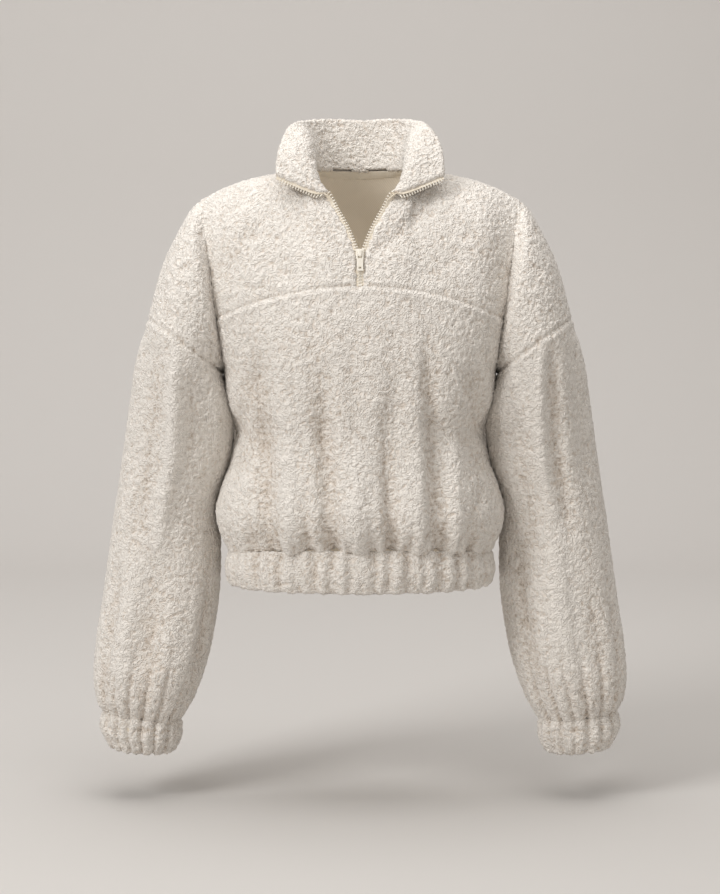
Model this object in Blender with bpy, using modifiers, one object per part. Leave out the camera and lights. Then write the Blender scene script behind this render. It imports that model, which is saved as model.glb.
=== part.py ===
# A cropped sherpa fleece pullover with a quarter zip, filled out as if it were worn.
# +X is the wearer's left, the front faces -Y, +Z is up, and the origin lies in the middle
# of the neck at shoulder height.  Sizes are in millimetres, and MM makes them metres.

import math
from collections import namedtuple

import bmesh
import bpy
import numpy as np

MM = 0.001

# Cloth and seams
CLOTH = 3.0  # thickness of one layer of fleece
COLLAR_CLOTH = 7.5  # the collar is two layers, fleece on both faces
TAPE = 1.0  # thickness of the zip's and the neck's tapes
SEAM_GAP = 0.3  # space left between two pieces that are sewn together
COLLAR_SEAM_GAP = 2.0  # the thick collar stands this far above its seam
UNDERARM_GAP = 0.4  # each side of the short seam under the arm

# The places where the forms of the body meet
UNDERARM_Z = -229.0
CREASE = 0.72  # across the body: where the chest turns into the arm
NECK_SIDE = 0.30  # across the body: where the shoulder line reaches the collar
ARMHOLE = 1.0  # across the body: the seam of the dropped shoulder

# The zip: an opening that narrows to nothing in the slider, then a closed chain
OPENING_END_Z = -100.0
OPENING_HEIGHT = 79.0
OPENING_SLOPE = 0.30  # half width gained for each millimetre up
OPENING_FLARE = 18.9  # further half width gained near the collar
OPENING_POWER = 2.5  # how late the flare comes
TAPE_WIDTH = 7.5  # from the fleece's edge to the line of the teeth
CORNER_OFFSET = 5.0  # the same, seen from the front, where the edge turns at the collar
CORNER_HEIGHT = 28.0  # the stretch below the collar over which it turns

# The chest seam is an arc, lower at the sides
CHEST_SEAM_Z = -133.0
CHEST_SEAM_DROP = 33.0
CHEST_SEAM_REACH = 160.0
CHEST_SEAM_POWER = 2.2

# Cross-sections of the body below the underarm; squareness 1 is an ellipse, less is squarer
BodyRing = namedtuple("BodyRing", "z half_width front back squareness")
BODY_RINGS = (
    BodyRing(-229, 163, 112, 98, 0.75),
    BodyRing(-270, 160, 113, 95, 0.80),
    BodyRing(-311, 148, 112, 92, 0.86),
    BodyRing(-345, 156, 116, 96, 0.90),
    BodyRing(-378, 168, 122, 104, 0.92),
    BodyRing(-407, 175, 125, 110, 0.92),
    BodyRing(-430, 171, 122, 109, 0.90),
    BodyRing(-445, 164, 115, 104, 0.88),
    BodyRing(-454, 160, 109, 99, 0.86),
)
BAND_RINGS = (
    BodyRing(-454, 160, 109, 99, 0.86),
    BodyRing(-473, 164, 112, 102, 0.86),
    BodyRing(-492, 161, 108, 99, 0.86),
)
BAND_RISE = 9.0  # the band's seam is higher at the centre front than at the sides
BAND_RISE_HEIGHT = 75.0  # the stretch above the seam over which the cloth follows it

# Columns of the chest and of the back.  Each runs from a point on the neck seam or the
# shoulder line (x, y, z) down to the underarm ring at turn degrees from its middle.
# reach and dip aim it at the top, out and down; lift and pull aim it at the bottom.
Column = namedtuple("Column", "across x y z turn reach dip lift pull")
CHEST_COLUMNS = (
    Column(0.00, 0, -58, -27, 0.0, 24, 36, 72, 0),
    Column(0.08, 32, -44, -14, 3.0, 34, 22, 80, 0),
    Column(0.20, 58, -18, 0, 11.3, 50, 6, 90, 0),
    Column(0.30, 64.5, 6, 8, 20.4, 62, 0, 96, 0),
    Column(0.45, 104, 8, 1, 37.3, 66, 0, 92, 4),
    Column(0.60, 150, 8, -11, 58.8, 78, 0, 66, 22),
)
BACK_COLUMNS = (
    Column(0.00, 0, 58, 7, 0.0, 22, 28, 80, 0),
    Column(0.14, 38, 50, 8, 7.7, 30, 20, 84, 0),
    Column(0.24, 57, 30, 9, 15.3, 44, 8, 88, 0),
    Column(0.30, 64.5, 6, 8, 20.4, 56, 0, 90, 0),
    Column(0.45, 104, 8, 1, 37.3, 60, 0, 86, 4),
    Column(0.60, 150, 8, -11, 58.8, 72, 0, 62, 20),
)
SHOULDER_COLUMNS = 3  # the last columns start on the shoulder line, which both faces share

# Rings of the arm, from the crease at the chest to the cuff.  Each is two arcs between an
# outer and an inner point, as deep as front and back say; pitch raises its front.
ArmRing = namedtuple(
    "ArmRing", "along outer_x outer_y outer_z inner_x inner_y inner_z front back pitch"
)
ARM_RINGS = (
    ArmRing(0.72, 190, 8, -30, 163, 0, -229, 48, 56, 0.00),
    ArmRing(0.80, 206, 9, -46, 164.5, 0, -231, 72, 78, 0.02),
    ArmRing(0.87, 226, 10, -82, 166, 0, -233, 77, 84, 0.05),
    ArmRing(0.94, 243, 11, -125, 168, 0, -235.5, 79, 87, 0.10),
    ArmRing(1.00, 256, 12, -176, 171, 0, -238, 80, 88, 0.14),
    ArmRing(1.12, 269, 14, -212, 167, 2, -262, 78, 84, 0.10),
    ArmRing(1.26, 280, 18, -272, 160, 10, -300, 74, 79, 0.06),
    ArmRing(1.38, 289.5, 23, -335, 160, 22, -348, 70, 74, 0.03),
    ArmRing(1.50, 299, 27, -395, 174.5, 31, -402, 67, 70, 0.00),
    ArmRing(1.61, 308, 30, -451, 174, 33, -458, 68, 70, 0.00),
    ArmRing(1.73, 317, 29, -515, 175.5, 30, -512, 70, 71, 0.00),
    ArmRing(1.84, 326, 25, -572, 184, 26, -566, 70, 69, 0.00),
    ArmRing(1.92, 329, 20, -615, 193.5, 20, -606, 66, 64, 0.00),
    ArmRing(1.97, 325, 16, -643, 208, 16, -643, 55, 54, 0.00),
    ArmRing(2.00, 318, 14, -656, 222, 14, -668, 44, 43, 0.00),
)
CUFF_RINGS = (
    ArmRing(0.0, 318, 14, -656, 222, 14, -668, 44, 43, 0.00),
    ArmRing(0.5, 321, 14, -677, 222, 14, -688, 45, 44, 0.00),
    ArmRing(1.0, 311, 14, -700, 229, 14, -706, 39, 38, 0.00),
)

# The collar's top edge, by place along the neck seam from the centre back (0) past the
# side of the neck (NECK_SIDE) to the zip (twice that).  roll lifts the middle of its
# height, where the front corners fall open.
CollarStation = namedtuple("CollarStation", "place x y z roll")
COLLAR_STATIONS = (
    CollarStation(0.00, 0, 66, 66, 0),
    CollarStation(0.14, 45, 60, 67, 0),
    CollarStation(0.22, 66, 43, 64, 1),
    CollarStation(0.30, 78, 18, 58, 3),
    CollarStation(0.40, 87, -8, 44, 5),
    CollarStation(0.52, 95, -34, 18, 4),
    CollarStation(0.60, 97, -47, -3, 1),
)

# The largest folds.  On the body a fold hangs between two heights at one x; on the
# sleeve it runs between two places along the arm at one turn of the ring.
Fold = namedtuple("Fold", "x top bottom width depth")
FRONT_FOLDS = (
    Fold(-112, -180, -452, 12, 5.0),
    Fold(-38, -200, -452, 11, 4.5),
    Fold(42, -215, -452, 12, 4.0),
    Fold(93, -250, -452, 16, 6.0),
)
BACK_FOLDS = (
    Fold(-96, -230, -452, 15, 5.0),
    Fold(-20, -190, -452, 13, 4.0),
    Fold(58, -240, -452, 14, 5.5),
    Fold(120, -270, -452, 12, 4.0),
)

# Folds of the sleeves' front arcs: place across the arc, start and end along the arm
ArmFold = namedtuple("ArmFold", "v start end width depth")
SLEEVE_FOLDS = (
    ArmFold(0.24, 1.02, 1.50, 0.07, 5.0),
    ArmFold(0.70, 1.02, 1.42, 0.08, 5.5),
    ArmFold(0.45, 1.55, 1.98, 0.09, 6.0),
)

# Slider and pull tab
SLIDER_Z = -95.5
SLIDER_WIDTH = 9.4
SLIDER_HEIGHT = 12.5
SLIDER_PLATE = 1.4
SLIDER_CHANNEL = 3.2  # between its two plates
SLIDER_POST = 2.0
CROWN_WIDTH = 4.2
CROWN_HEIGHT = 8.0
CROWN_RISE = 3.6
CROWN_HOLE = 2.4
PULL_WIDTH = 7.6
PULL_LENGTH = 22.0
PULL_THICKNESS = 1.6
PULL_PIN_RADIUS = 0.7
PULL_TOP = 0.75  # above the hinge, short enough to turn past the slider's plate
PULL_SLOT = 5.4
PULL_HOLE_WIDTH = 3.2
PULL_HOLE_HEIGHT = 2.4
STOP_Z = -131.6

# Materials: colour, roughness, metallic
Finish = namedtuple("Finish", "colour roughness metallic")
FINISHES = {
    "sherpa_fleece": Finish((0.80, 0.74, 0.66), 0.95, 0.0),
    "neck_tape": Finish((0.78, 0.71, 0.61), 0.85, 0.0),
    "zip_tape": Finish((0.78, 0.71, 0.60), 0.80, 0.0),
    "zip_resin": Finish((0.84, 0.79, 0.70), 0.40, 0.0),
}


# ---------------------------------------------------------------------------
# Curves and surfaces
# ---------------------------------------------------------------------------


def through(places, values, at):
    """Smooth curve through the values at their places, read at other places."""
    places = np.asarray(places, float)
    values = np.asarray(values, float)
    at = np.asarray(at, float)
    slopes = np.gradient(values, places, axis=0)
    left = np.clip(np.searchsorted(places, at, side="right") - 1, 0, len(places) - 2)
    span = places[left + 1] - places[left]
    u = (at - places[left]) / span
    if values.ndim > 1:
        u = u[..., None]
        span = span[..., None]
    start = (1 + 2 * u) * (1 - u) ** 2 * values[left] + u * (1 - u) ** 2 * span * slopes[left]
    end = u**2 * (3 - 2 * u) * values[left + 1] - u**2 * (1 - u) * span * slopes[left + 1]
    return start + end


def bezier(start, start_handle, end_handle, end, v):
    """Cubic Bezier curve; the handles are offsets from its two ends."""
    v = np.asarray(v, float)[..., None]
    second = start + start_handle
    third = end + end_handle
    return (
        (1 - v) ** 3 * start
        + 3 * (1 - v) ** 2 * v * second
        + 3 * (1 - v) * v**2 * third
        + v**3 * end
    )


def unit(vectors):
    return vectors / np.maximum(np.linalg.norm(vectors, axis=-1, keepdims=True), 1e-9)


def smooth_step(value, low, high):
    x = np.clip((value - low) / (high - low), 0.0, 1.0)
    return x * x * (3 - 2 * x)


def body_ring(rings, z, turn):
    """Point of the body at a height; turn is 0 at the centre front and 180 at the back."""
    z, turn = np.broadcast_arrays(np.asarray(z, float), np.asarray(turn, float))
    sizes = through([-r.z for r in rings], [r[1:] for r in rings], -z)
    half_width, front, back, squareness = np.moveaxis(sizes, -1, 0)
    across = np.sin(np.radians(turn))
    forward = np.cos(np.radians(turn))
    depth = np.where(forward > 0, front, back)
    x = half_width * np.sign(across) * np.abs(across) ** squareness
    y = -depth * np.sign(forward) * np.abs(forward) ** squareness
    seam_z = BAND_RINGS[0].z
    above = smooth_step(z, seam_z, seam_z + BAND_RISE_HEIGHT)
    below = smooth_step(z, BAND_RINGS[-1].z, seam_z)
    rise = BAND_RISE * np.clip(forward, 0, 1) ** 2 * (1 - above) * below
    return np.stack((x, y, z + rise), axis=-1)


def fold_depth(folds, x, z):
    """How far the folds push the cloth in, fading out at both ends of each."""
    depth = np.zeros(np.shape(x))
    for fold in folds:
        along = smooth_step(fold.top - z, 0, 60) * smooth_step(z - fold.bottom, 0, 25)
        depth = depth + fold.depth * along * np.exp(-(((x - fold.x) / fold.width) ** 2))
    return depth


def opening_half_width(z):
    """Half the width of the neck opening between the two rows of teeth."""
    height = np.clip(z - OPENING_END_Z, 0, OPENING_HEIGHT)
    return OPENING_SLOPE * height + OPENING_FLARE * (height / OPENING_HEIGHT) ** OPENING_POWER


def zip_edge_offset(z):
    """Sideways distance from the line of the teeth to the fleece's edge."""
    step = 0.5
    slope = (opening_half_width(z + step) - opening_half_width(z - step)) / (2 * step)
    level = TAPE_WIDTH * np.sqrt(1 + slope**2)
    corner_z = OPENING_END_Z + OPENING_HEIGHT
    turning = smooth_step(z, corner_z - CORNER_HEIGHT, corner_z)
    return level + (CORNER_OFFSET - level) * turning


def column_rows(columns, outward):
    """Ends and handles of the chest's or back's columns; outward is -1 for the front."""
    places, tops, top_handles, turns, bottom_handles = [], [], [], [], []
    for c in columns:
        places.append(c.across)
        tops.append((c.x, c.y, c.z))
        top_handles.append((0, outward * c.reach, -c.dip))
        turns.append(c.turn)
        bottom_handles.append((0, outward * c.pull, c.lift))
    return places, tops, top_handles, turns, bottom_handles


def arm_rows(rings, outward):
    """Ends and handles of one side of the arm's rings, an arc as deep as the ring says."""
    places, tops, handles, bottoms = [], [], [], []
    for r in rings:
        depth = r.front if outward < 0 else r.back
        places.append(r.along)
        tops.append((r.outer_x, r.outer_y, r.outer_z))
        handles.append((0, outward * depth * 4 / 3, -outward * depth * r.pitch * 4 / 3))
        bottoms.append((r.inner_x, r.inner_y, r.inner_z))
    return places, tops, handles, bottoms


def arm_surface(rings, outward, along, v):
    """One side of the arm: v runs from the outer line (0) to the inner line (1)."""
    along, v = np.broadcast_arrays(np.asarray(along, float), np.asarray(v, float))
    places, tops, handles, bottoms = arm_rows(rings, outward)
    handle = through(places, handles, along)
    top = through(places, tops, along)
    bottom = through(places, bottoms, along)
    points = bezier(top, handle, handle, bottom, v)
    if outward > 0 or rings is CUFF_RINGS:
        return points
    depth = np.zeros(along.shape)
    for fold in SLEEVE_FOLDS:
        run = smooth_step(along, fold.start, fold.start + 0.15) * smooth_step(fold.end - along, 0, 0.12)
        depth = depth + fold.depth * run * np.exp(-(((v - fold.v) / fold.width) ** 2))
    return points + unit((top + bottom) / 2 - points) * depth[..., None]


def upper_surface(outward, across, v, zipped=False):
    """Chest or back and its arm: v runs from the neck and shoulder (0) to the underarm (1)."""
    across, v = np.broadcast_arrays(np.asarray(across, float), np.asarray(v, float))
    columns = CHEST_COLUMNS if outward < 0 else BACK_COLUMNS
    places, tops, top_handles, turns, bottom_handles = column_rows(columns, outward)
    arm_places, arm_tops, arm_handles, arm_bottoms = arm_rows(ARM_RINGS, outward)
    places = places + arm_places
    top = through(places, tops + arm_tops, across)
    top_handle = through(places, top_handles + arm_handles, across)
    bottom_handle = through(places, bottom_handles + arm_handles, across)
    turn = through(places[: len(turns) + 1], turns + [90.0], np.minimum(across, CREASE))
    turn = turn if outward < 0 else 180 - turn
    on_body = body_ring(BODY_RINGS, np.full(across.shape, UNDERARM_Z), turn)
    on_arm = through(arm_places, arm_bottoms, np.maximum(across, CREASE))
    bottom = np.where((across <= CREASE)[..., None], on_body, on_arm)
    points = bezier(top, top_handle, bottom_handle, bottom, v)
    first = len(columns) - SHOULDER_COLUMNS
    shoulder = through(places[first:], (tops + arm_tops)[first:], np.maximum(across, NECK_SIDE))
    near_seam = (np.clip(1 - v, 0, 1.1) ** 4 * (across > NECK_SIDE))[..., None]
    points = points + (shoulder - top) * near_seam
    if zipped:
        z = points[..., 2]
        fade = np.clip(1 - across / NECK_SIDE, 0, 2) ** 2
        points[..., 0] += (opening_half_width(z) + zip_edge_offset(z)) * fade
    return points


def panel_surface(outward, across, down, zipped=False):
    """Whole front or back: down is 0 to 1 above the underarm and 1 to 2 below it."""
    across, down = np.broadcast_arrays(np.asarray(across, float), np.asarray(down, float))
    upper = upper_surface(outward, across, np.minimum(down, 1), zipped)
    columns = CHEST_COLUMNS if outward < 0 else BACK_COLUMNS
    places = [c.across for c in columns] + [CREASE]
    turn = through(places, [c.turn for c in columns] + [90.0], np.minimum(across, CREASE))
    turn = turn if outward < 0 else 180 - turn
    lowest = BODY_RINGS[-1].z
    z = UNDERARM_Z + (lowest - UNDERARM_Z) * (down - 1)
    lower = body_ring(BODY_RINGS, np.minimum(z, UNDERARM_Z), turn)
    return np.where((down <= 1)[..., None], upper, lower)


def mirrored_panel(outward, across, down, zipped=False, folds=()):
    """The panel on both sides of the middle: across is below 0 on the wearer's right."""
    across, down = np.broadcast_arrays(np.asarray(across, float), np.asarray(down, float))
    side = np.where(across < 0, -1.0, 1.0)
    points = panel_surface(outward, np.abs(across), down, zipped)
    points[..., 0] *= side
    points[..., 1] -= outward * fold_depth(folds, points[..., 0], points[..., 2])
    return points


def chest_seam_z(x):
    return CHEST_SEAM_Z - CHEST_SEAM_DROP * (np.abs(x) / CHEST_SEAM_REACH) ** CHEST_SEAM_POWER


def chest_seam_place(across, zipped):
    """How far down each column the chest seam crosses it."""
    down = np.linspace(0, 1, 201)
    places = []
    for a in np.atleast_1d(np.abs(across)):
        column = upper_surface(-1, np.full(down.shape, min(a, CREASE)), down, zipped)
        height = column[:, 2] - chest_seam_z(column[:, 0])
        places.append(np.interp(0, height[::-1], down[::-1]))
    return np.array(places)


def neck_seam(place):
    """Neck seam from the centre back (0) to the zip (twice NECK_SIDE)."""
    place = np.asarray(place, float)
    back = upper_surface(1, np.clip(place, 0, NECK_SIDE), np.zeros(place.shape))
    front_across = np.clip(2 * NECK_SIDE - place, 0, NECK_SIDE)
    front = upper_surface(-1, front_across, np.zeros(place.shape), zipped=True)
    return np.where((place <= NECK_SIDE)[..., None], back, front)


def collar_surface(place, height):
    """Collar from the neck seam (0) to its top edge (1), bent outward by the roll."""
    place, height = np.broadcast_arrays(np.asarray(place, float), np.asarray(height, float))
    side = np.where(place < 0, -1.0, 1.0)
    seam = neck_seam(np.abs(place))
    stations = through(
        [s.place for s in COLLAR_STATIONS], [s[1:] for s in COLLAR_STATIONS], np.abs(place)
    )
    top = stations[..., :3]
    roll = stations[..., 3]
    h = height[..., None]
    points = seam * (1 - h) + top * h
    bend = roll * np.sin(np.pi * height)
    points[..., 0] -= 0.5 * bend
    points[..., 2] += bend
    points[..., 0] *= side
    return points


def surface_normals(surface, a, b):
    """Unit normals of surface(a, b), from its slopes in a and b."""
    step = 1e-3
    along_a = surface(a + step, b) - surface(a - step, b)
    along_b = surface(a, b + step) - surface(a, b - step)
    return unit(np.cross(along_a, along_b))


def outward_normals(surface, a, b, inside):
    """Unit normals on the side away from the points that inside gives."""
    normals = surface_normals(surface, a, b)
    outward = surface(a, b) - inside(a, b)
    flip = np.where(np.sum(normals * outward, axis=-1, keepdims=True) < 0, -1.0, 1.0)
    return normals * flip


# ---------------------------------------------------------------------------
# Meshes
# ---------------------------------------------------------------------------


def clear_scene():
    for thing in list(bpy.data.objects):
        bpy.data.objects.remove(thing)


def make_collection(name):
    collection = bpy.data.collections.new(name)
    bpy.context.scene.collection.children.link(collection)
    return collection


def make_material(name):
    finish = FINISHES[name]
    material = bpy.data.materials.new(name)
    material.use_nodes = True
    shader = material.node_tree.nodes["Principled BSDF"]
    shader.inputs["Base Color"].default_value = (*finish.colour, 1.0)
    shader.inputs["Roughness"].default_value = finish.roughness
    shader.inputs["Metallic"].default_value = finish.metallic
    return material


def add_object(name, mesh, finish):
    mesh.materials.append(MATERIALS[finish])
    thing = bpy.data.objects.new(name, mesh)
    COLLECTION.objects.link(thing)
    return thing


def sew_edge(points, edge, beside, gap=SEAM_GAP / 2):
    """Move an edge of a grid towards the row or column beside it, by half a seam gap."""
    points[edge] += unit(points[beside] - points[edge]) * gap


def cloth_wall(name, outer, inner, finish, used=None, tube=False):
    """Closed wall between two grids of points.  used marks the cells that are cloth; a
    tube's last column joins its first.  Every free edge gets a side face."""
    rows, columns = outer.shape[:2]
    index = np.arange(rows * columns).reshape(rows, columns)
    if tube:
        index = np.concatenate((index, index[:, :1]), axis=1)
    if used is None:
        used = np.ones((rows - 1, index.shape[1] - 1), bool)
    r, c = np.nonzero(used)
    quads = np.stack((index[r, c], index[r, c + 1], index[r + 1, c + 1], index[r + 1, c]), axis=1)
    edges = {(q[i], q[(i + 1) % 4]) for q in quads.tolist() for i in range(4)}
    inside = rows * columns
    faces = quads.tolist() + (quads[:, ::-1] + inside).tolist()
    faces += [(b, a, a + inside, b + inside) for a, b in sorted(edges) if (b, a) not in edges]
    points = np.concatenate((outer.reshape(-1, 3), inner.reshape(-1, 3))) * MM
    mesh = bpy.data.meshes.new(name)
    mesh.from_pydata(points.tolist(), [], faces)
    shape = bmesh.new()
    shape.from_mesh(mesh)
    loose = [v for v in shape.verts if not v.link_faces]
    bmesh.ops.delete(shape, geom=loose, context="VERTS")
    bmesh.ops.recalc_face_normals(shape, faces=shape.faces)
    if shape.calc_volume(signed=True) < 0:
        bmesh.ops.reverse_faces(shape, faces=shape.faces)
    shape.to_mesh(mesh)
    shape.free()
    mesh.shade_smooth()
    mesh.set_sharp_from_angle(angle=math.radians(50))
    return add_object(name, mesh, finish)


def box_shape(shape, centre, size):
    """Add a box to a bmesh and give back its corners."""
    made = bmesh.ops.create_cube(shape, size=1.0)["verts"]
    for corner in made:
        for axis in range(3):
            corner.co[axis] = (centre[axis] + corner.co[axis] * size[axis]) * MM
    return made


def box_object(name, centre, size, finish, bevel=0.0):
    shape = bmesh.new()
    box_shape(shape, centre, size)
    mesh = bpy.data.meshes.new(name)
    shape.to_mesh(mesh)
    shape.free()
    thing = add_object(name, mesh, finish)
    if bevel:
        rounding = thing.modifiers.new("rounded edges", "BEVEL")
        rounding.width = bevel * MM
        rounding.segments = 2
    return thing


def cut_or_join(thing, other, operation):
    """Boolean between two objects; the other one is kept as a hidden guide."""
    change = thing.modifiers.new(operation.lower(), "BOOLEAN")
    change.operation = operation
    change.object = other
    other.hide_render = True
    other.display_type = "WIRE"
    COLLECTION.objects.unlink(other)
    CUTTERS.objects.link(other)
    other.parent = thing


# ---------------------------------------------------------------------------
# Cloth pieces
# ---------------------------------------------------------------------------

TORSO_PLACES = np.array((0, 0.06, 0.12, 0.18, 0.24, 0.30, 0.37, 0.44, 0.51, 0.58, 0.65, CREASE))
ARM_PLACES = np.array((0.76, 0.82, 0.88, 0.94, ARMHOLE))
YOKE_ROWS = 6
CREASE_ROWS = 3
BACK_ROWS = 8
LOWER_ROWS = np.array((0.14, 0.28, 0.40, 0.52, 0.63, 0.73, 0.82, 0.90, 0.96, 1.0)) + 1
NECK_TAPE_COLUMNS = 4
NECK_TAPE_WIDTH = 8.5
NECK_TAPE_GAP = 1.3
SLEEVE_PLACES = np.array((1.0, 1.08, 1.17, 1.27, 1.37, 1.47, 1.58, 1.69, 1.79, 1.87, 1.93, 1.97, 2.0))


def chest_rows(across, zipped):
    """Rows of the front: evenly to the chest seam, then evenly to the underarm."""
    seam = chest_seam_place(across, zipped)
    above = np.linspace(0, 1, YOKE_ROWS + 1)[:, None] * seam
    below = seam + np.linspace(0, 1, CREASE_ROWS + 1)[1:, None] * (1 - seam)
    return np.concatenate((above, below))


def inside_panel(surface):
    """Points inside the body behind a chest or back, or in the middle of the arm."""

    def inside(across, down):
        points = surface(across, down)
        body = np.stack(
            (points[..., 0] * 0.55, np.full(points.shape[:-1], 8.0), np.minimum(points[..., 2], -60)),
            axis=-1,
        )
        outer = surface(across, np.zeros_like(down))
        inner = surface(across, np.ones_like(down))
        on_arm = (np.abs(across) > CREASE + 1e-6)[..., None]
        return np.where(on_arm, (outer + inner) / 2, body)

    return inside


def yoke(side, name):
    across = np.concatenate((TORSO_PLACES, ARM_PLACES))
    down = chest_rows(across, zipped=True)
    places = np.broadcast_to(across, down.shape)

    def surface(a, b):
        return upper_surface(-1, a, b, zipped=True)

    points = surface(places, down)
    normals = outward_normals(surface, places, down, inside_panel(surface))
    crease = len(TORSO_PLACES) - 1
    normals[-1, crease] = normals[-1, crease + 1]
    sew_edge(points, np.s_[0, :], np.s_[1, :])
    sew_edge(points, np.s_[:, -1], np.s_[:, -2])
    sew_edge(points, np.s_[YOKE_ROWS, : crease + 1], np.s_[YOKE_ROWS - 1, : crease + 1])
    sew_edge(points, np.s_[YOKE_ROWS + 1 :, crease], np.s_[YOKE_ROWS + 1 :, crease + 1])
    sew_edge(points, np.s_[-1, crease:], np.s_[-2, crease:], UNDERARM_GAP)
    used = np.ones((down.shape[0] - 1, down.shape[1] - 1), bool)
    used[YOKE_ROWS:, :crease] = False
    inner = points - normals * CLOTH
    points[..., 0] *= side
    inner[..., 0] *= side
    return cloth_wall(name, points, inner, "sherpa_fleece", used)


def front_body():
    half = TORSO_PLACES
    across = np.concatenate((-half[:0:-1], half))
    upper = chest_rows(across, zipped=False)[YOKE_ROWS:]
    lower = np.repeat(LOWER_ROWS[:, None], len(across), axis=1)
    down = np.concatenate((upper, lower))
    places = np.broadcast_to(across, down.shape)

    def surface(a, b):
        return mirrored_panel(-1, a, b, folds=FRONT_FOLDS)

    points = surface(places, down)
    normals = outward_normals(surface, places, down, inside_panel(surface))
    for column in (0, -1):
        normals[CREASE_ROWS, column] = (np.sign(across[column]), 0, 0)
    sew_edge(points, np.s_[0, :], np.s_[1, :])
    sew_edge(points, np.s_[-1, :], np.s_[-2, :])
    sew_edge(points, np.s_[:, 0], np.s_[:, 1])
    sew_edge(points, np.s_[:, -1], np.s_[:, -2])
    return cloth_wall("front_body", points, points - normals * CLOTH, "sherpa_fleece")


def back_grid():
    """Points and outward normals of the back, row by row, and the cells that are cloth."""
    half = np.concatenate((TORSO_PLACES, ARM_PLACES))
    across = np.concatenate((-half[:0:-1], half))
    rows = np.concatenate((np.linspace(0, 1, BACK_ROWS + 1), LOWER_ROWS))
    down, places = np.meshgrid(rows, across, indexing="ij")

    def surface(a, b):
        return mirrored_panel(1, a, b, folds=BACK_FOLDS)

    points = surface(places, down)
    arm_hem = (np.abs(places) > CREASE) & (down == 1)
    normals = outward_normals(surface, places, down - 0.002 * arm_hem, inside_panel(surface))
    arms = len(ARM_PLACES)
    first, last = arms, len(across) - 1 - arms
    for corner, side in ((first, -1), (last, 1)):
        beside = normals[BACK_ROWS, corner + side]
        normals[BACK_ROWS, corner] = unit(np.array((side, 0.0, 0.0)) + beside)
    sew_edge(points, np.s_[0, :], np.s_[1, :])
    sew_edge(points, np.s_[-1, :], np.s_[-2, :])
    sew_edge(points, np.s_[: BACK_ROWS + 1, 0], np.s_[: BACK_ROWS + 1, 1])
    sew_edge(points, np.s_[: BACK_ROWS + 1, -1], np.s_[: BACK_ROWS + 1, -2])
    sew_edge(points, np.s_[BACK_ROWS, : first + 1], np.s_[BACK_ROWS - 1, : first + 1])
    sew_edge(points, np.s_[BACK_ROWS, last:], np.s_[BACK_ROWS - 1, last:])
    sew_edge(points, np.s_[BACK_ROWS + 1 :, first], np.s_[BACK_ROWS + 1 :, first + 1])
    sew_edge(points, np.s_[BACK_ROWS + 1 :, last], np.s_[BACK_ROWS + 1 :, last - 1])
    used = np.ones((len(rows) - 1, len(across) - 1), bool)
    used[BACK_ROWS:, :first] = False
    used[BACK_ROWS:, last:] = False
    return points, normals, used


def back_body():
    points, normals, used = back_grid()
    return cloth_wall("back_body", points, points - normals * CLOTH, "sherpa_fleece", used)


def back_neck_tape():
    """Flat tape inside the back, made from the back's own top rows moved in."""
    points, normals, used = back_grid()
    middle = points.shape[1] // 2
    neck = np.s_[middle - NECK_TAPE_COLUMNS : middle + NECK_TAPE_COLUMNS + 1]
    inside = points[:2, neck] - normals[:2, neck] * (CLOTH + NECK_TAPE_GAP)
    length = np.linalg.norm(inside[1] - inside[0], axis=-1, keepdims=True)
    lower = inside[0] + (inside[1] - inside[0]) * NECK_TAPE_WIDTH / length
    outer = np.stack((inside[0], lower))
    return cloth_wall("back_neck_tape", outer, outer - normals[:2, neck] * TAPE, "neck_tape")


def arm_tube(rings, places, side, name):
    """Tube of cloth along the arm's rings, its points in line with the armhole seam's."""
    front_v = chest_rows(np.array((CREASE,)), zipped=True)[:, 0]
    back_v = np.linspace(0, 1, BACK_ROWS + 1)
    along, v_front = np.meshgrid(places, front_v, indexing="ij")
    along_back, v_back = np.meshgrid(places, back_v[-2:0:-1], indexing="ij")

    def front(a, b):
        return arm_surface(rings, -1, a, b)

    def back(a, b):
        return arm_surface(rings, 1, a, b)

    def ring_centre(a, b):
        return (front(a, np.zeros_like(b)) + front(a, np.ones_like(b))) / 2

    points = np.concatenate((front(along, v_front), back(along_back, v_back)), axis=1)
    normals = np.concatenate(
        (
            outward_normals(front, along, v_front, ring_centre),
            outward_normals(back, along_back, v_back, ring_centre),
        ),
        axis=1,
    )
    sew_edge(points, np.s_[0, :], np.s_[1, :])
    sew_edge(points, np.s_[-1, :], np.s_[-2, :])
    inner = points - normals * CLOTH
    points[..., 0] *= side
    inner[..., 0] *= side
    return cloth_wall(name, points, inner, "sherpa_fleece", tube=True)


def hem_band():
    turns = np.arange(0, 360, 9.0)
    heights = np.linspace(BAND_RINGS[0].z, BAND_RINGS[-1].z, 3)
    z, turn = np.meshgrid(heights, turns, indexing="ij")

    def surface(a, b):
        return body_ring(BAND_RINGS, a, b)

    def middle(a, b):
        return surface(a, b) * (0, 0, 1)

    points = surface(z, turn)
    normals = outward_normals(surface, z, turn, middle)
    sew_edge(points, np.s_[0, :], np.s_[1, :])
    return cloth_wall("hem_band", points, points - normals * CLOTH, "sherpa_fleece", tube=True)


def collar():
    half = np.concatenate((TORSO_PLACES[:6], 2 * NECK_SIDE - TORSO_PLACES[4::-1]))
    places = np.concatenate((-half[:0:-1], half))
    heights = np.linspace(0, 1, 5)
    height, place = np.meshgrid(heights, places, indexing="ij")

    points = collar_surface(place, height)
    normals = -surface_normals(collar_surface, place, height)
    sew_edge(points, np.s_[0, :], np.s_[1, :], COLLAR_SEAM_GAP)
    return cloth_wall("collar", points, points - normals * COLLAR_CLOTH, "sherpa_fleece")


# ---------------------------------------------------------------------------
# Zip
# ---------------------------------------------------------------------------


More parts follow.
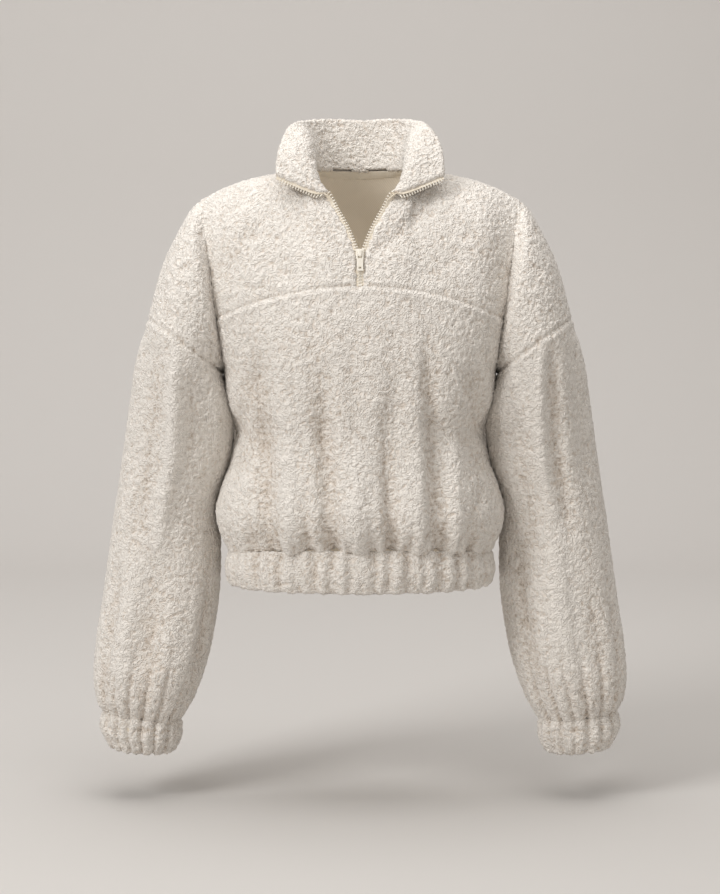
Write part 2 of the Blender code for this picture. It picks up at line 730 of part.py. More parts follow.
def zip_path():
    """Fleece edge beside the zip, from the chest seam up the opening and the collar, with
    the way out of the cloth and half its thickness at each point."""
    seam = float(chest_seam_place(0.0, zipped=True)[0])
    down = np.linspace(seam, 0, 17)
    height = np.linspace(0, 1, 9)
    across = np.zeros(down.shape)
    place = np.full(height.shape, 2 * NECK_SIDE)

    def chest(a, b):
        return upper_surface(-1, a, b, zipped=True)

    chest_edge = chest(across, down)
    chest_out = outward_normals(chest, across, down, inside_panel(chest))
    collar_edge = collar_surface(place, height)
    collar_out = -surface_normals(collar_surface, place, height)
    edge = np.concatenate((chest_edge, collar_edge[1:]))
    travelled = np.concatenate(((0,), np.cumsum(np.linalg.norm(np.diff(edge, axis=0), axis=1))))
    corner = travelled[len(down) - 1]
    turned = smooth_step(travelled, corner - CORNER_HEIGHT, corner + 14)[:, None]
    chest_all = np.concatenate((chest_out, np.repeat(chest_out[-1:], len(height) - 1, axis=0)))
    collar_all = np.concatenate((np.repeat(collar_out[:1], len(down), axis=0), collar_out[1:]))
    out = unit(chest_all * (1 - turned) + collar_all * turned)
    half_wall = CLOTH / 2 + (COLLAR_CLOTH - CLOTH) / 2 * turned
    return edge, out, half_wall


def zip_tape(side, name):
    """Ribbon from the fleece's edge to the line of the teeth, at the middle of the wall."""
    edge, out, half_wall = zip_path()
    forward = unit(np.gradient(edge, axis=0))
    beside = unit(np.cross(out, forward))
    widths = np.array((3 * SEAM_GAP, 0.5 * TAPE_WIDTH, TAPE_WIDTH - 2 * SEAM_GAP))
    middle = edge - out * half_wall
    points = middle[:, None, :] + beside[:, None, :] * widths[None, :, None]
    points = points + out[:, None, :] * TAPE / 2
    inner = points - out[:, None, :] * TAPE
    sew_edge(points, np.s_[0, :], np.s_[1, :])
    sew_edge(inner, np.s_[0, :], np.s_[1, :])
    points[..., 0] *= side
    inner[..., 0] *= side
    return cloth_wall(name, points, inner, "zip_tape")


def chain_frame(z):
    """Point on the zip's middle line at a height, and its lean from the vertical."""
    down = np.linspace(0, 1, 201)
    column = upper_surface(-1, np.zeros(down.shape), down)
    y = np.interp(z, column[::-1, 2], column[::-1, 1])
    above = np.interp(z + 5, column[::-1, 2], column[::-1, 1])
    below = np.interp(z - 5, column[::-1, 2], column[::-1, 1])
    lean = math.atan2(above - below, 10.0)
    return y + CLOTH / 2 * math.cos(lean), lean


def place_on_chain(thing, z, forward=0.0):
    """Stand an object on the chain, its -Y facing out of the cloth."""
    y, lean = chain_frame(z)
    thing.location = (0, (y - forward * math.cos(lean)) * MM, (z + forward * math.sin(lean)) * MM)
    thing.rotation_euler = (-lean, 0, 0)


def zip_slider():
    """Two plates with a post between them, and a crown that the pull's pin goes through."""
    plate_y = (SLIDER_CHANNEL + SLIDER_PLATE) / 2
    size = (SLIDER_WIDTH, SLIDER_PLATE, SLIDER_HEIGHT)
    slider = box_object("zip_slider", (0, -plate_y, 0), size, "zip_resin", bevel=0.4)
    rear = box_object("slider_rear_plate", (0, plate_y, 0), size, "zip_resin", bevel=0.4)
    post_height = 3.0
    post = box_object(
        "slider_post",
        (0, 0, (SLIDER_HEIGHT - post_height) / 2 - 0.5),
        (SLIDER_POST, SLIDER_CHANNEL + SLIDER_PLATE, post_height),
        "zip_resin",
    )
    crown = box_object(
        "slider_crown",
        (0, -plate_y - CROWN_RISE / 2, 0),
        (CROWN_WIDTH, CROWN_RISE + SLIDER_PLATE / 2, CROWN_HEIGHT),
        "zip_resin",
        bevel=0.8,
    )
    crown_eye = box_object(
        "slider_crown_eye",
        (0, -plate_y - SLIDER_PLATE / 2 - CROWN_HOLE / 2, 0),
        (CROWN_WIDTH * 2, CROWN_HOLE, CROWN_HOLE + 1.6),
        "zip_resin",
    )
    cut_or_join(slider, rear, "UNION")
    cut_or_join(slider, post, "UNION")
    cut_or_join(slider, crown, "UNION")
    cut_or_join(slider, crown_eye, "DIFFERENCE")
    place_on_chain(slider, SLIDER_Z)
    return slider


def zip_pull():
    """Flat tab; its top bar is the pin in the crown, and its origin is on the hinge."""
    pull_middle = -PULL_LENGTH / 2 + PULL_TOP
    pull = box_object(
        "zip_pull", (0, 0, pull_middle), (PULL_WIDTH, PULL_THICKNESS, PULL_LENGTH), "zip_resin", 0.4
    )
    slot_top = -PULL_PIN_RADIUS
    slot = box_object(
        "pull_slot",
        (0, 0, slot_top - PULL_SLOT / 2),
        (CROWN_WIDTH + 1.0, PULL_THICKNESS * 3, PULL_SLOT),
        "zip_resin",
    )
    above_pin = box_object(
        "pull_above_pin",
        (0, 0, PULL_PIN_RADIUS + 1.5),
        (CROWN_WIDTH + 1.0, PULL_THICKNESS * 3, 3.0),
        "zip_resin",
    )
    hole = box_object(
        "pull_hole",
        (0, 0, pull_middle - PULL_LENGTH / 2 + 3.6),
        (PULL_HOLE_WIDTH, PULL_THICKNESS * 3, PULL_HOLE_HEIGHT),
        "zip_resin",
    )
    cut_or_join(pull, slot, "DIFFERENCE")
    cut_or_join(pull, above_pin, "DIFFERENCE")
    cut_or_join(pull, hole, "DIFFERENCE")
    forward = (SLIDER_CHANNEL + CROWN_HOLE) / 2 + SLIDER_PLATE
    place_on_chain(pull, SLIDER_Z, forward)
    return pull


def zip_bottom_stop():
    stop = box_object("zip_bottom_stop", (0, -TAPE / 2 - SEAM_GAP - 0.7, 0), (4.4, 1.4, 2.0), "zip_resin", 0.3)
    place_on_chain(stop, STOP_Z)
    return stop


# ---------------------------------------------------------------------------
# The whole pullover
# ---------------------------------------------------------------------------

clear_scene()
COLLECTION = make_collection("sherpa_pullover")
CUTTERS = make_collection("cutters")
MATERIALS = {name: make_material(name) for name in FINISHES}

for side, word in ((1, "left"), (-1, "right")):
    yoke(side, f"yoke_{word}")
    arm_tube(ARM_RINGS, SLEEVE_PLACES, side, f"sleeve_{word}")
    arm_tube(CUFF_RINGS, np.array((0, 0.5, 1.0)), side, f"cuff_{word}")
    zip_tape(side, f"zip_tape_{word}")
front_body()
back_body()
hem_band()
collar()
back_neck_tape()
zip_slider()
zip_pull()
zip_bottom_stop()
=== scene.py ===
import math

import bpy
import numpy as np
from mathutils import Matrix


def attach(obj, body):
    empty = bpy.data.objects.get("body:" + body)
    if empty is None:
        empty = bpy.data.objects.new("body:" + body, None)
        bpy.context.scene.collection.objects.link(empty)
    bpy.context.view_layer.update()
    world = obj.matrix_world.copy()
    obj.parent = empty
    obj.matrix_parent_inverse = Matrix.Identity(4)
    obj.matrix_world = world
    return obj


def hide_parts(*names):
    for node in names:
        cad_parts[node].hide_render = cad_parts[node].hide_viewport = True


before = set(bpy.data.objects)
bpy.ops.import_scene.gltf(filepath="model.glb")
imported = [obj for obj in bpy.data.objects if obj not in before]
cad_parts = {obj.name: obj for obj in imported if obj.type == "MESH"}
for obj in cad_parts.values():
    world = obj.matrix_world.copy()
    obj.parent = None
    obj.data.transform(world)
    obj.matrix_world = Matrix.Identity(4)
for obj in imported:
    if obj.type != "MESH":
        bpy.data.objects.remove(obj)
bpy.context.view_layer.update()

mm = 0.001
print("frame loaded")

# A sherpa fleece pullover.  +X is the wearer's left, the front faces -Y and the origin is the
# middle of the neck.  The form is worked out in millimetres and put into the meshes in metres.

# The form of the body, arms and collar, the same as the solids have
form = {
    "underarm": -229.0,  # height of the seam under the arm
    "crease": 0.72,  # across the body: where the chest turns into the arm
    "neckSide": 0.30,  # across the body: where the shoulder line meets the collar
    "armhole": 1.0,  # across the body: the seam of the dropped shoulder
    "cloth": 3.0,
    "collarCloth": 7.5,
    "collarGap": 1.0,
    "collarRoll": 0.65,  # below 1 the collar's bend is nearer its seam than its edge
}

# Body rings: z, half width, depth to the front, depth to the back, squareness
bodyRings = np.array([
    (-229, 163, 112, 98, 0.75), (-270, 160, 113, 95, 0.80), (-311, 148, 112, 92, 0.86),
    (-345, 156, 116, 96, 0.90), (-378, 168, 122, 104, 0.92), (-407, 175, 125, 110, 0.92),
    (-430, 171, 122, 109, 0.90), (-445, 164, 115, 104, 0.88), (-454, 160, 109, 99, 0.86),
])
bandRings = np.array([
    (-454, 160, 109, 99, 0.86), (-473, 164, 112, 102, 0.86), (-492, 161, 108, 99, 0.86),
])
bandRise = {"height": 9.0, "fade": 75.0}  # how far the front of the waist seam is lifted

# Columns of the chest and back: place across, top x y z, turn on the ring below,
# outward and downward handle at the top, upward and outward handle at the bottom
chestColumns = np.array([
    (0, 0, -58, -27, 0, 24, 36, 72, 0), (0.08, 32, -44, -14, 3, 34, 22, 80, 0),
    (0.20, 58, -18, 0, 11.3, 50, 6, 90, 0), (0.30, 64.5, 6, 8, 20.4, 62, 0, 96, 0),
    (0.45, 104, 8, 1, 37.3, 66, 0, 92, 4), (0.60, 150, 8, -11, 58.8, 78, 0, 66, 22),
])
backColumns = np.array([
    (0, 0, 58, 7, 0, 22, 28, 80, 0), (0.14, 38, 50, 8, 7.7, 30, 20, 84, 0),
    (0.24, 57, 30, 9, 15.3, 44, 8, 88, 0), (0.30, 64.5, 6, 8, 20.4, 56, 0, 90, 0),
    (0.45, 104, 8, 1, 37.3, 60, 0, 86, 4), (0.60, 150, 8, -11, 58.8, 72, 0, 62, 20),
])
shoulderColumns = 3

# Arm rings: place along, outer x y z, inner x y z, depth to the front, to the back, pitch
armRings = np.array([
    (0.72, 190, 8, -30, 163, 0, -229, 48, 56, 0), (0.80, 206, 9, -46, 164.5, 0, -231, 72, 78, 0.02),
    (0.87, 226, 10, -82, 166, 0, -233, 77, 84, 0.05), (0.94, 243, 11, -125, 168, 0, -235.5, 79, 87, 0.10),
    (1.0, 256, 12, -176, 171, 0, -238, 80, 88, 0.14), (1.12, 269, 14, -212, 167, 2, -262, 78, 84, 0.10),
    (1.26, 280, 18, -272, 160, 10, -300, 74, 79, 0.06), (1.38, 289.5, 23, -335, 160, 22, -348, 70, 74, 0.03),
    (1.50, 299, 27, -395, 174.5, 31, -402, 67, 70, 0), (1.61, 308, 30, -451, 174, 33, -458, 68, 70, 0),
    (1.73, 317, 29, -515, 175.5, 30, -512, 70, 71, 0), (1.84, 326, 25, -572, 184, 26, -566, 70, 69, 0),
    (1.92, 329, 20, -615, 193.5, 20, -606, 66, 64, 0), (1.97, 325, 16, -643, 208, 16, -643, 55, 54, 0),
    (2.0, 318, 14, -656, 222, 14, -668, 44, 43, 0),
])
cuffRings = np.array([
    (0, 318, 14, -656, 222, 14, -668, 44, 43, 0), (0.5, 321, 14, -677, 222, 14, -688, 45, 44, 0),
    (1.0, 311, 14, -700, 229, 14, -706, 39, 38, 0),
])

# Collar top edge: place round the neck, x y z, roll
collarStations = np.array([
    (0, 0, 66, 66, 0), (0.14, 45, 60, 67, 0), (0.22, 66, 43, 64, 5), (0.30, 78, 18, 58, 13),
    (0.40, 87, -8, 44, 21), (0.52, 95, -34, 18, 15), (0.60, 97, -47, -3, 1.5),
])

zipForm = {
    "endZ": -100.0, "height": 79.0, "slope": 0.30, "flare": 18.9, "power": 2.5,
    "tapeWidth": 7.5, "cornerOffset": 5.0, "cornerHeight": 28.0,
}
chestSeam = {"z": -133.0, "drop": 33.0, "reach": 160.0, "power": 2.2}

# Soft vertical folds: x, top z, bottom z, width, depth
frontFolds = np.array([
    (-112, -180, -452, 12, 5), (-38, -200, -452, 11, 4.5), (42, -215, -452, 12, 4), (93, -250, -452, 16, 6),
])
backFolds = np.array([
    (-96, -230, -452, 15, 5), (-20, -190, -452, 13, 4), (58, -240, -452, 14, 5.5), (120, -270, -452, 12, 4),
])
# Folds of the sleeve's front: place round, start, end, width, depth
sleeveFolds = np.array([
    (0.24, 1.02, 1.50, 0.07, 5), (0.70, 1.02, 1.42, 0.08, 5.5), (0.45, 1.55, 1.98, 0.09, 6),
])


# Smooth curve through values at their places: cubic Hermite with averaged slopes
def through(places, values, at):
    places = np.asarray(places, float)
    values = np.asarray(values, float)
    at = np.asarray(at, float)
    slopes = np.gradient(values, places, axis=0)
    left = np.clip(np.searchsorted(places, at, side="right") - 1, 0, len(places) - 2)
    span = places[left + 1] - places[left]
    u = (at - places[left]) / span
    if values.ndim > 1:
        u = u[..., None]
        span = span[..., None]
    start = (1 + 2 * u) * (1 - u) ** 2 * values[left] + u * (1 - u) ** 2 * span * slopes[left]
    end = u**2 * (3 - 2 * u) * values[left + 1] - u**2 * (1 - u) * span * slopes[left + 1]
    return start + end


# Cubic Bezier with handles given as offsets from its two ends
def bezier(start, startHandle, endHandle, end, v):
    v = np.asarray(v, float)[..., None]
    near = (1 - v) ** 3 * start + 3 * (1 - v) ** 2 * v * (start + startHandle)
    return near + 3 * (1 - v) * v**2 * (end + endHandle) + v**3 * end


def unit(vectors):
    return vectors / np.maximum(np.linalg.norm(vectors, axis=-1, keepdims=True), 1e-9)


def smoothStep(value, low, high):
    x = np.clip((value - low) / (high - low), 0.0, 1.0)
    return x * x * (3 - 2 * x)


# Superellipse ring: x = width sin^s, y = -depth cos^s, with the front of the waist lifted
def bodyRing(rings, z, turn):
    z, turn = np.broadcast_arrays(np.asarray(z, float), np.asarray(turn, float))
    sizes = through(-rings[:, 0], rings[:, 1:], -z)
    halfWidth, front, back, squareness = np.moveaxis(sizes, -1, 0)
    across = np.sin(np.radians(turn))
    forward = np.cos(np.radians(turn))
    depth = np.where(forward > 0, front, back)
    x = halfWidth * np.sign(across) * np.abs(across) ** squareness
    y = -depth * np.sign(forward) * np.abs(forward) ** squareness
    seamZ = bandRings[0, 0]
    above = smoothStep(z, seamZ, seamZ + bandRise["fade"])
    below = smoothStep(z, bandRings[-1, 0], seamZ)
    rise = bandRise["height"] * np.clip(forward, 0, 1) ** 2 * (1 - above) * below
    return np.stack((x, y, z + rise), axis=-1)


# Bell curve: 1 in the middle and about a third at its width
def bell(away, width):
    return np.exp(-((away / width) ** 2))


# Depth of vertical folds: a bell across each, fading out over its ends
def foldDepth(folds, x, z, fadeTop=60.0, fadeBottom=25.0):
    depth = np.zeros(np.shape(x))
    for foldX, top, bottom, width, deep in folds:
        along = smoothStep(top - z, 0, fadeTop) * smoothStep(z - bottom, 0, fadeBottom)
        depth = depth + deep * along * bell(x - foldX, width)
    return depth


def openingHalfWidth(z):
    height = np.clip(z - zipForm["endZ"], 0, zipForm["height"])
    return zipForm["slope"] * height + zipForm["flare"] * (height / zipForm["height"]) ** zipForm["power"]


# Sideways distance from the line of the teeth to the fleece's edge
def zipEdgeOffset(z):
    slope = openingHalfWidth(z + 0.5) - openingHalfWidth(z - 0.5)
    level = zipForm["tapeWidth"] * np.sqrt(1 + slope**2)
    cornerZ = zipForm["endZ"] + zipForm["height"]
    turning = smoothStep(z, cornerZ - zipForm["cornerHeight"], cornerZ)
    return level + (zipForm["cornerOffset"] - level) * turning


def columnRows(columns, outward):
    zero = np.zeros(len(columns))
    topHandles = np.stack((zero, outward * columns[:, 5], -columns[:, 6]), axis=-1)
    bottomHandles = np.stack((zero, outward * columns[:, 8], columns[:, 7]), axis=-1)
    return columns[:, 0], columns[:, 1:4], topHandles, columns[:, 4], bottomHandles


def armRows(rings, outward):
    depth = (rings[:, 7] if outward < 0 else rings[:, 8]) * 4 / 3
    handles = np.stack((np.zeros(len(rings)), outward * depth, -outward * depth * rings[:, 9]), axis=-1)
    return rings[:, 0], rings[:, 1:4], handles, rings[:, 4:7]


# Half a sleeve: an arc from the outer line (v = 0) to the inner line (v = 1)
def armSurface(rings, outward, along, v):
    along, v = np.broadcast_arrays(np.asarray(along, float), np.asarray(v, float))
    places, tops, handles, bottoms = armRows(rings, outward)
    handle = through(places, handles, along)
    top = through(places, tops, along)
    bottom = through(places, bottoms, along)
    points = bezier(top, handle, handle, bottom, v)
    if outward > 0 or rings is cuffRings:
        return points
    depth = np.zeros(along.shape)
    for foldV, start, end, width, deep in sleeveFolds:
        run = smoothStep(along, start, start + 0.15) * smoothStep(end - along, 0, 0.12)
        depth = depth + deep * run * bell(v - foldV, width)
    return points + unit((top + bottom) / 2 - points) * depth[..., None]


# Chest or back and its arm: Bezier columns from the neck and shoulder down to the underarm
def upperSurface(outward, across, v, zipped=False):
    across, v = np.broadcast_arrays(np.asarray(across, float), np.asarray(v, float))
    columns = chestColumns if outward < 0 else backColumns
    crease = form["crease"]
    places, tops, topHandles, turns, bottomHandles = columnRows(columns, outward)
    armPlaces, armTops, armHandles, armBottoms = armRows(armRings, outward)
    allPlaces = np.concatenate((places, armPlaces))
    allTops = np.concatenate((tops, armTops))
    top = through(allPlaces, allTops, across)
    topHandle = through(allPlaces, np.concatenate((topHandles, armHandles)), across)
    bottomHandle = through(allPlaces, np.concatenate((bottomHandles, armHandles)), across)
    turn = through(np.append(places, crease), np.append(turns, 90.0), np.minimum(across, crease))
    turn = turn if outward < 0 else 180 - turn
    onBody = bodyRing(bodyRings, np.full(across.shape, form["underarm"]), turn)
    onArm = through(armPlaces, armBottoms, np.maximum(across, crease))
    bottom = np.where((across <= crease)[..., None], onBody, onArm)
    points = bezier(top, topHandle, bottomHandle, bottom, v)
    first = len(columns) - shoulderColumns
    shoulder = through(allPlaces[first:], allTops[first:], np.maximum(across, form["neckSide"]))
    nearSeam = (np.clip(1 - v, 0, 1.1) ** 4 * (across > form["neckSide"]))[..., None]
    points = points + (shoulder - top) * nearSeam
    if zipped:
        z = points[..., 2]
        fade = np.clip(1 - across / form["neckSide"], 0, 2) ** 2
        points[..., 0] += (openingHalfWidth(z) + zipEdgeOffset(z)) * fade
    return points


# Whole front or back: down is 0 to 1 above the underarm and 1 to 2 below it, both sides
def panel(outward, across, down, zipped=False, folds=()):
    across, down = np.broadcast_arrays(np.asarray(across, float), np.asarray(down, float))
    place = np.abs(across)
    upper = upperSurface(outward, place, np.minimum(down, 1), zipped)
    columns = chestColumns if outward < 0 else backColumns
    crease = form["crease"]
    places, turns = np.append(columns[:, 0], crease), np.append(columns[:, 4], 90.0)
    turn = through(places, turns, np.minimum(place, crease))
    turn = turn if outward < 0 else 180 - turn
    z = form["underarm"] + (bodyRings[-1, 0] - form["underarm"]) * (down - 1)
    lower = bodyRing(bodyRings, np.minimum(z, form["underarm"]), turn)
    points = np.where((down <= 1)[..., None], upper, lower)
    points[..., 0] *= np.where(across < 0, -1.0, 1.0)
    points[..., 1] -= outward * foldDepth(folds, points[..., 0], points[..., 2])
    return points


# How far down each column the arched chest seam crosses it
def chestSeamPlace(across, zipped):
    down = np.linspace(0, 1, 201)
    place, d = np.meshgrid(np.minimum(np.abs(across), form["crease"]), down, indexing="ij")
    columns = upperSurface(-1, place, d, zipped)
    sideways = np.abs(columns[..., 0]) / chestSeam["reach"]
    height = columns[..., 2] - chestSeam["z"] + chestSeam["drop"] * sideways ** chestSeam["power"]
    return np.array([np.interp(0, row[::-1], down[::-1]) for row in height])


def neckSeam(place):
    place = np.asarray(place, float)
    side = form["neckSide"]
    back = upperSurface(1, np.clip(place, 0, side), np.zeros(place.shape))
    front = upperSurface(-1, np.clip(2 * side - place, 0, side), np.zeros(place.shape), zipped=True)
    return np.where((place <= side)[..., None], back, front)


# Collar from the neck seam (0) to its top edge (1), bowed outward by its roll
def collarSurface(place, height):
    place, height = np.broadcast_arrays(np.asarray(place, float), np.asarray(height, float))
    mirrored = np.concatenate((collarStations[1:2] * (-1, -1, 1, 1, 1), collarStations))
    stations = through(mirrored[:, 0], mirrored[:, 1:], np.abs(place))
    h = height[..., None]
    points = neckSeam(np.abs(place)) * (1 - h) + stations[..., :3] * h
    bend = stations[..., 3] * np.sin(np.pi * height ** form["collarRoll"])
    points[..., 0] -= 0.3 * bend
    points[..., 2] += bend
    points[..., 0] *= np.where(place < 0, -1.0, 1.0)
    return points


# Length travelled along a line of points
def travelledAlong(points):
    return np.concatenate(((0,), np.cumsum(np.linalg.norm(np.diff(points, axis=0), axis=1))))


# Places from start to end that are equal steps of length along a curve
def evenly(curve, start, end, count):
    fine = np.linspace(start, end, 600)
    travelled = travelledAlong(curve(fine))
    return np.interp(np.linspace(0, travelled[-1], count + 1), travelled, fine)


# Repeatable random numbers from 0 to 1 for whole-number cells
def scatter(x, y, z, seed):
    mixed = (x * 374761393 + y * 668265263 + z * 1440662683 + seed * 97561231) & 0xFFFFFFFF
    mixed = ((mixed ^ (mixed >> 13)) * 1274126177) & 0xFFFFFFFF
    mixed = ((mixed ^ (mixed >> 16)) * 2246822519) & 0xFFFFFFFF
    return ((mixed ^ (mixed >> 15)) & 0xFFFF) / 65535.0


# Smooth noise from -1 to 1: random values at the corners of cubes, blended inside
def softNoise(points, size, seed):
    q = points / size
    cell = np.floor(q).astype(np.int64)
    f = q - cell
    f = f * f * (3 - 2 * f)
    total = np.zeros(points.shape[:-1])
    for corner in range(8):
        dx, dy, dz = corner & 1, (corner >> 1) & 1, (corner >> 2) & 1
        weight = np.abs(1 - dx - f[..., 0]) * np.abs(1 - dy - f[..., 1]) * np.abs(1 - dz - f[..., 2])
        total += weight * scatter(cell[..., 0] + dx, cell[..., 1] + dy, cell[..., 2] + dz, seed)
    return total * 2 - 1


# Distance to the nearest of one random point in each cube, in cube sizes
def tuftDistance(points, size, seed):
    q = points / size
    cell = np.floor(q).astype(np.int64)
    nearest = np.full(points.shape[:-1], 9.0)
    for step in range(27):
        dx, dy, dz = step % 3 - 1, (step // 3) % 3 - 1, step // 9 - 1
        x, y, z = cell[..., 0] + dx, cell[..., 1] + dy, cell[..., 2] + dz
        away = (q[..., 0] - x - scatter(x, y, z, seed)) ** 2
        away += (q[..., 1] - y - scatter(x, y, z, seed + 1)) ** 2
        away += (q[..., 2] - z - scatter(x, y, z, seed + 2)) ** 2
        nearest = np.minimum(nearest, away)
    return np.sqrt(nearest)


pile = {
    "tuft": 5.4,  # size of the curled tufts
    "curl": 3.5,  # size of the ridges between them
    "warp": 2.3,  # how far slow noise bends both
    "warpSize": 8.0,
    "tuftShare": 0.6,
    "thin": 2.2,  # how thin the ridges are
    "depth": 2.9,
    "sink": 0.7,  # the pile's middle height is this far out of its roots
    "shade": 0.05,  # painted shade and painted light: how much darker each mm of a fold or gather is, and how much paler each mm of a swell or ridge is, than the mm below it
    "broad": 0.7,  # height of the slow waves under the pile
    "broadSize": 30.0, "middleSize": 14.0,
}
seamForm = {
    "grooveWidth": 2.8,
    "ridgePlace": 5.5,  # how far from the seam the cloth swells beside it
    "ridgeWidth": 3.4,
    "flattened": 0.6,  # share of the pile's height left on the seam itself
    "flatReach": 4.0,
    "shade": 0.1,  # painted shade in a seam's groove and painted highlight on the ridge beside it: how much darker or paler each mm of groove or ridge is than the mm below it
}


# Height of the pile from 0 to about 1: round tufts and worm-like ridges, bent by slow noise
def pileHeight(points):
    bent = np.stack([softNoise(points, pile["warpSize"], seed) for seed in (3, 4, 5)], axis=-1)
    q = points + bent * pile["warp"]
    tuft = np.clip(1 - tuftDistance(q, pile["tuft"], 11) ** 2, 0, 1)
    ridge = 1 - np.minimum(np.abs(softNoise(q, pile["curl"], 23)) * pile["thin"], 1)
    return pile["tuftShare"] * tuft + (1 - pile["tuftShare"]) * ridge


# Distance from each point to the nearest point of a line, in batches to save memory
def nearestDistance(points, line):
    flat = points.reshape(-1, 3)
    least = np.zeros(len(flat))
    batch = 20000
    for start in range(0, len(flat), batch):
        some = flat[start:start + batch]
        away = (some**2).sum(1)[:, None] + (line**2).sum(1)[None, :] - 2 * some @ line.T
        least[start:start + batch] = np.sqrt(np.maximum(away.min(1), 0))
    return least.reshape(points.shape[:-1])


# Mesh of quads and triangles, whose last quads, backed of them, take the second material
def makeMesh(name, points, quads, triangles=np.zeros((0, 3), int), backed=0):
    mesh = bpy.data.meshes.new(name)
    used = np.unique(np.concatenate((quads.ravel(), triangles.ravel())))
    renumber = np.full(len(points), -1)
    renumber[used] = np.arange(len(used))
    corners = np.concatenate((renumber[quads].ravel(), renumber[triangles].ravel()))
    sizes = np.concatenate((np.full(len(quads), 4), np.full(len(triangles), 3)))
    mesh.vertices.add(len(used))
    mesh.vertices.foreach_set("co", (points[used] * mm).astype(np.float32).ravel())
    mesh.loops.add(len(corners))
    mesh.loops.foreach_set("vertex_index", corners.astype(np.int32))
    mesh.polygons.add(len(sizes))
    starts = np.concatenate(((0,), np.cumsum(sizes)[:-1]))
    mesh.polygons.foreach_set("loop_start", starts.astype(np.int32))
    slots = np.zeros(len(sizes), np.int32)
    slots[len(quads) - backed:len(quads)] = 1
    mesh.polygons.foreach_set("material_index", slots)
    mesh.update(calc_edges=True)
    mesh.shade_smooth()
    return mesh, used


def addObject(name, data, *materialNames):
    for materialName in materialNames:
        data.materials.append(materials[materialName])
    thing = bpy.data.objects.new(name, data)
    bpy.context.scene.collection.objects.link(thing)
    return thing


def gridIndex(rows, columns, tube=False):
    index = np.arange(rows * columns).reshape(rows, columns)
    return np.concatenate((index, index[:, :1]), axis=1) if tube else index


# Closed path of (row, column) cells through corners that share a row or a column
def walk(corners):
    path = []
    for (r0, c0), (r1, c1) in zip(corners, corners[1:] + corners[:1]):
        count = max(abs(r1 - r0), abs(c1 - c0))
        step = np.arange(count)
        path.append(np.stack((r0 + step * np.sign(r1 - r0), c0 + step * np.sign(c1 - c0)), axis=1))
    return np.concatenate(path)


